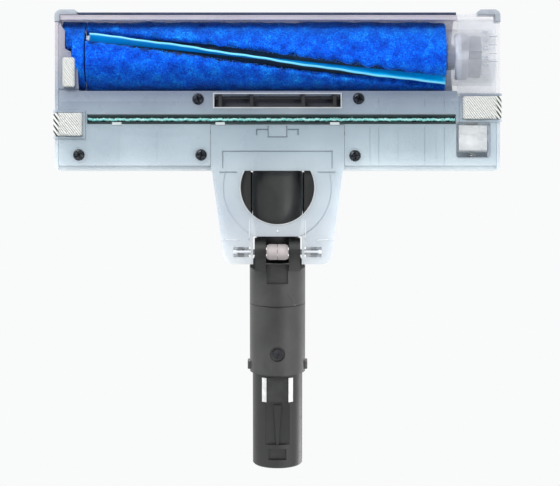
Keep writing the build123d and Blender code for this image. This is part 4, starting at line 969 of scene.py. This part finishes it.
def side_pad(name, node, side):
    """A pad under the casing that turns up over its side wall with a rounded corner."""
    low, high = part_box(node)
    inner = high[0] if side < 0 else low[0]
    outer = low[0] if side < 0 else high[0]
    bottom, top, under = low[2], high[2], 2.35 * MM
    wall = outer - side * 0.88 * MM
    outline = [(inner, under)]
    outline += [(inner + side * 0.1 * MM, bottom + 0.9 * MM), (inner + side * 0.7 * MM, bottom + 0.25 * MM)]
    run = abs(outer - inner)
    for step in range(1, 16):
        outline.append((inner + side * (0.7 * MM + (run - 4.2 * MM) * step / 15), bottom + 0.02 * MM))
    for step in range(0, 9):
        angle = math.pi / 2 * step / 8
        outline.append((outer - side * 3.2 * MM * (1 - math.sin(angle)),
                        bottom + 3.2 * MM * (1 - math.cos(angle))))
    outline += [(outer, bottom + 6 * MM), (outer, top - 2 * MM)]
    outline += [(outer - side * 0.2 * MM, top - 0.4 * MM), (wall, top)]
    outline += [(wall, bottom + 6 * MM), (wall, under)]
    if side > 0:
        outline = outline[::-1]
    pad_skin(name, node, outline)


def make_pads():
    """The three glide pads; the small one lies flat."""
    side_pad("knit_pad_left", "glide_pad_left", -1)
    side_pad("knit_pad_right", "glide_pad_right", 1)
    low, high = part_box("glide_pad_small")
    width = high[0] - low[0]
    outline = [(low[0], high[2]), (low[0], low[2] + 0.9 * MM)]
    for step in range(11):
        outline.append((low[0] + width * (0.06 + 0.88 * step / 10),
                        low[2] + 0.25 * MM * (abs(step - 5) / 5) ** 3))
    outline += [(high[0], low[2] + 0.9 * MM), (high[0], high[2])]
    pad_skin("knit_pad_small", "glide_pad_small", outline)


# ------------------------------------------------------------------ flexible duct
def make_boot():
    """The smooth dark boot between the head's outlet and the neck: a barrel with a slightly flat keel."""
    low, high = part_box("flex_duct")
    start_y, end_y = low[1], high[1]
    outlet = Vector((0, start_y, 21.7 * MM))
    inlet = Vector((0, end_y, 24.4 * MM))
    around = 72
    stations = []
    for step in range(57):
        share = step / 56
        ease = share * share * (3 - 2 * share)
        centre = outlet.lerp(inlet, share)
        centre.z = outlet.z + (inlet.z - outlet.z) * ease
        radius = 16.25 * MM - 4.0 * MM * max(0.0, share - 0.42) ** 1.5 / 0.44
        if share < 0.05:
            radius -= 0.5 * MM * (1 - share / 0.05)
        stations.append((centre, radius))
    inner = [(centre, radius - 1.4 * MM) for centre, radius in reversed(stations)]
    rings = []
    for centre, radius in stations + inner:
        ring = []
        for k in range(around):
            angle = math.tau * k / around
            keel = 1 - 0.05 * max(0.0, math.cos(angle)) ** 6
            ring.append(centre + Vector((radius * math.sin(angle), 0, -radius * keel * math.cos(angle))))
        rings.append(ring)
    vertices, faces = loft_rings(rings, closed_ends=False)
    last = (len(rings) - 1) * around
    faces += [(k, (k + 1) % around, last + (k + 1) % around, last + k) for k in range(around)]
    piece = piece_from("duct_boot", vertices, faces, "boot_plastic", None, ["flex_duct"])
    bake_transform(piece)


def make_spring():
    """The latch's coil spring, which shortens when the latch is pulled."""
    low, high = [Vector(corner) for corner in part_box("latch_spring")]
    centre, wire = (low + high) / 2, 0.32 * MM
    radius = (high.x - low.x) / 2 - wire
    turns, steps = 6.5, 234
    rings = []
    for step in range(steps + 1):
        share = step / steps
        angle = math.tau * turns * share
        rise = low.y + wire + (high.y - low.y - 2 * wire) * share
        out = Vector((math.cos(angle), 0, math.sin(angle)))
        spot = Vector((centre.x, rise, centre.z)) + out * radius
        rings.append(hoop(spot, out, Vector((0, 1, 0)), wire))
    spring = piece_from("spring_coil", *loft_rings(rings), "steel", "head", ["latch_spring"])
    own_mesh(spring)


def make_latch_face():
    """The latch's finger plate: an S-shaped rise along its outer side, a shallow dish and a plain dot."""
    columns, lines = 36, 36
    x0, x1, y0, y1 = 114.3, 131.6, -73.0, -56.8

    def crest(x, y):
        share = (y - y0) / (y1 - y0)
        middle_x = 127.6 + 1.6 * math.tanh((share - 0.45) * 5)
        rise = 0.9 * math.exp(-((x - middle_x) / 1.5) ** 2)
        outer = 0.5 if x > middle_x else 0.0
        dish = 0.5 * math.exp(-((x - 120.8) / 4.5) ** 2 - ((y + 65) / 5.5) ** 2)
        dot = 0.35 * max(0.0, 1 - (math.hypot(x - 120.8, y + 64.6) / 2.3) ** 4)
        return 3.25 + 0.9 * math.sin(math.pi * share) ** 2 - rise + outer * 0.7 + dish - dot

    vertices = []
    for layer in (0, 1):
        for j in range(lines + 1):
            for i in range(columns + 1):
                x, y = x0 + (x1 - x0) * i / columns, y0 + (y1 - y0) * j / lines
                bow = 1.1 * math.sin(math.pi * i / columns) * (j / lines) ** 3
                edge = min(i, columns - i, j, lines - j)
                z = crest(x, y) + (0.45 * max(0.0, 1 - edge / 2.0) if layer == 0 else 0.0)
                vertices.append(Vector((x, y - bow, z if layer == 0 else max(z, 3.2) + 1.3)) * MM)
    faces = []
    per_line, per_layer = columns + 1, (columns + 1) * (lines + 1)
    for j in range(lines):
        for i in range(columns):
            a = j * per_line + i
            faces.append((a, a + per_line, a + per_line + 1, a + 1))
            b = a + per_layer
            faces.append((b, b + 1, b + per_line + 1, b + per_line))
    rim = [i for i in range(columns)] + [columns + per_line * j for j in range(lines)]
    rim += [per_line * lines + i for i in range(columns, 0, -1)]
    rim += [per_line * j for j in range(lines, 0, -1)]
    for k, a in enumerate(rim):
        b = rim[(k + 1) % len(rim)]
        faces.append((a, b, b + per_layer, a + per_layer))
    piece_from("latch_face", vertices, faces, "white_plastic", "latch")


# ------------------------------------------------------------------ neck
NECK_TILT = math.radians(9.0)
NECK_ORIGIN = Vector((0, 6.8, 24.0))


def on_neck(t, up, x):
    """A point t along the neck's axis, up from it and x across it, all in millimetres."""
    along = Vector((0, math.cos(NECK_TILT), math.sin(NECK_TILT)))
    rise = Vector((0, -math.sin(NECK_TILT), math.cos(NECK_TILT)))
    return (NECK_ORIGIN + along * t + rise * up + Vector((x, 0, 0))) * MM


def make_neck_ramp():
    """The moulded ramp under the fork that rises to the swivel line."""
    rows = []
    for step in range(25):
        share = step / 24
        t = 19.5 + 12.6 * share
        half = 3.0 + 9.0 * share
        proud = 1.25 * share ** 1.5
        ring = []
        for k in range(21):
            x = -half + 2 * half * k / 20
            crest = math.cos(math.pi / 2 * (x / half)) ** 0.7 if abs(x) < half else 0.0
            surface = -math.sqrt(17.8 ** 2 - x ** 2)
            ring.append(on_neck(t, surface - proud * crest + 0.02, x))
        for k in range(20, -1, -1):
            x = -half + 2 * half * k / 20
            ring.append(on_neck(t, -math.sqrt(17.2 ** 2 - x ** 2), x))
        rows.append(ring)
    piece_from("neck_ramp", *loft_rings(rows), "dark_plastic", "neck")


# ------------------------------------------------------------------ build
make_camera()
make_stage()
dress_nodes()
make_plush()
make_corner_seal()
make_blades()
make_pile_strip()
make_pads()
make_boot()
make_trim()
make_screws()
make_spring()
make_latch_face()
make_neck_ramp()
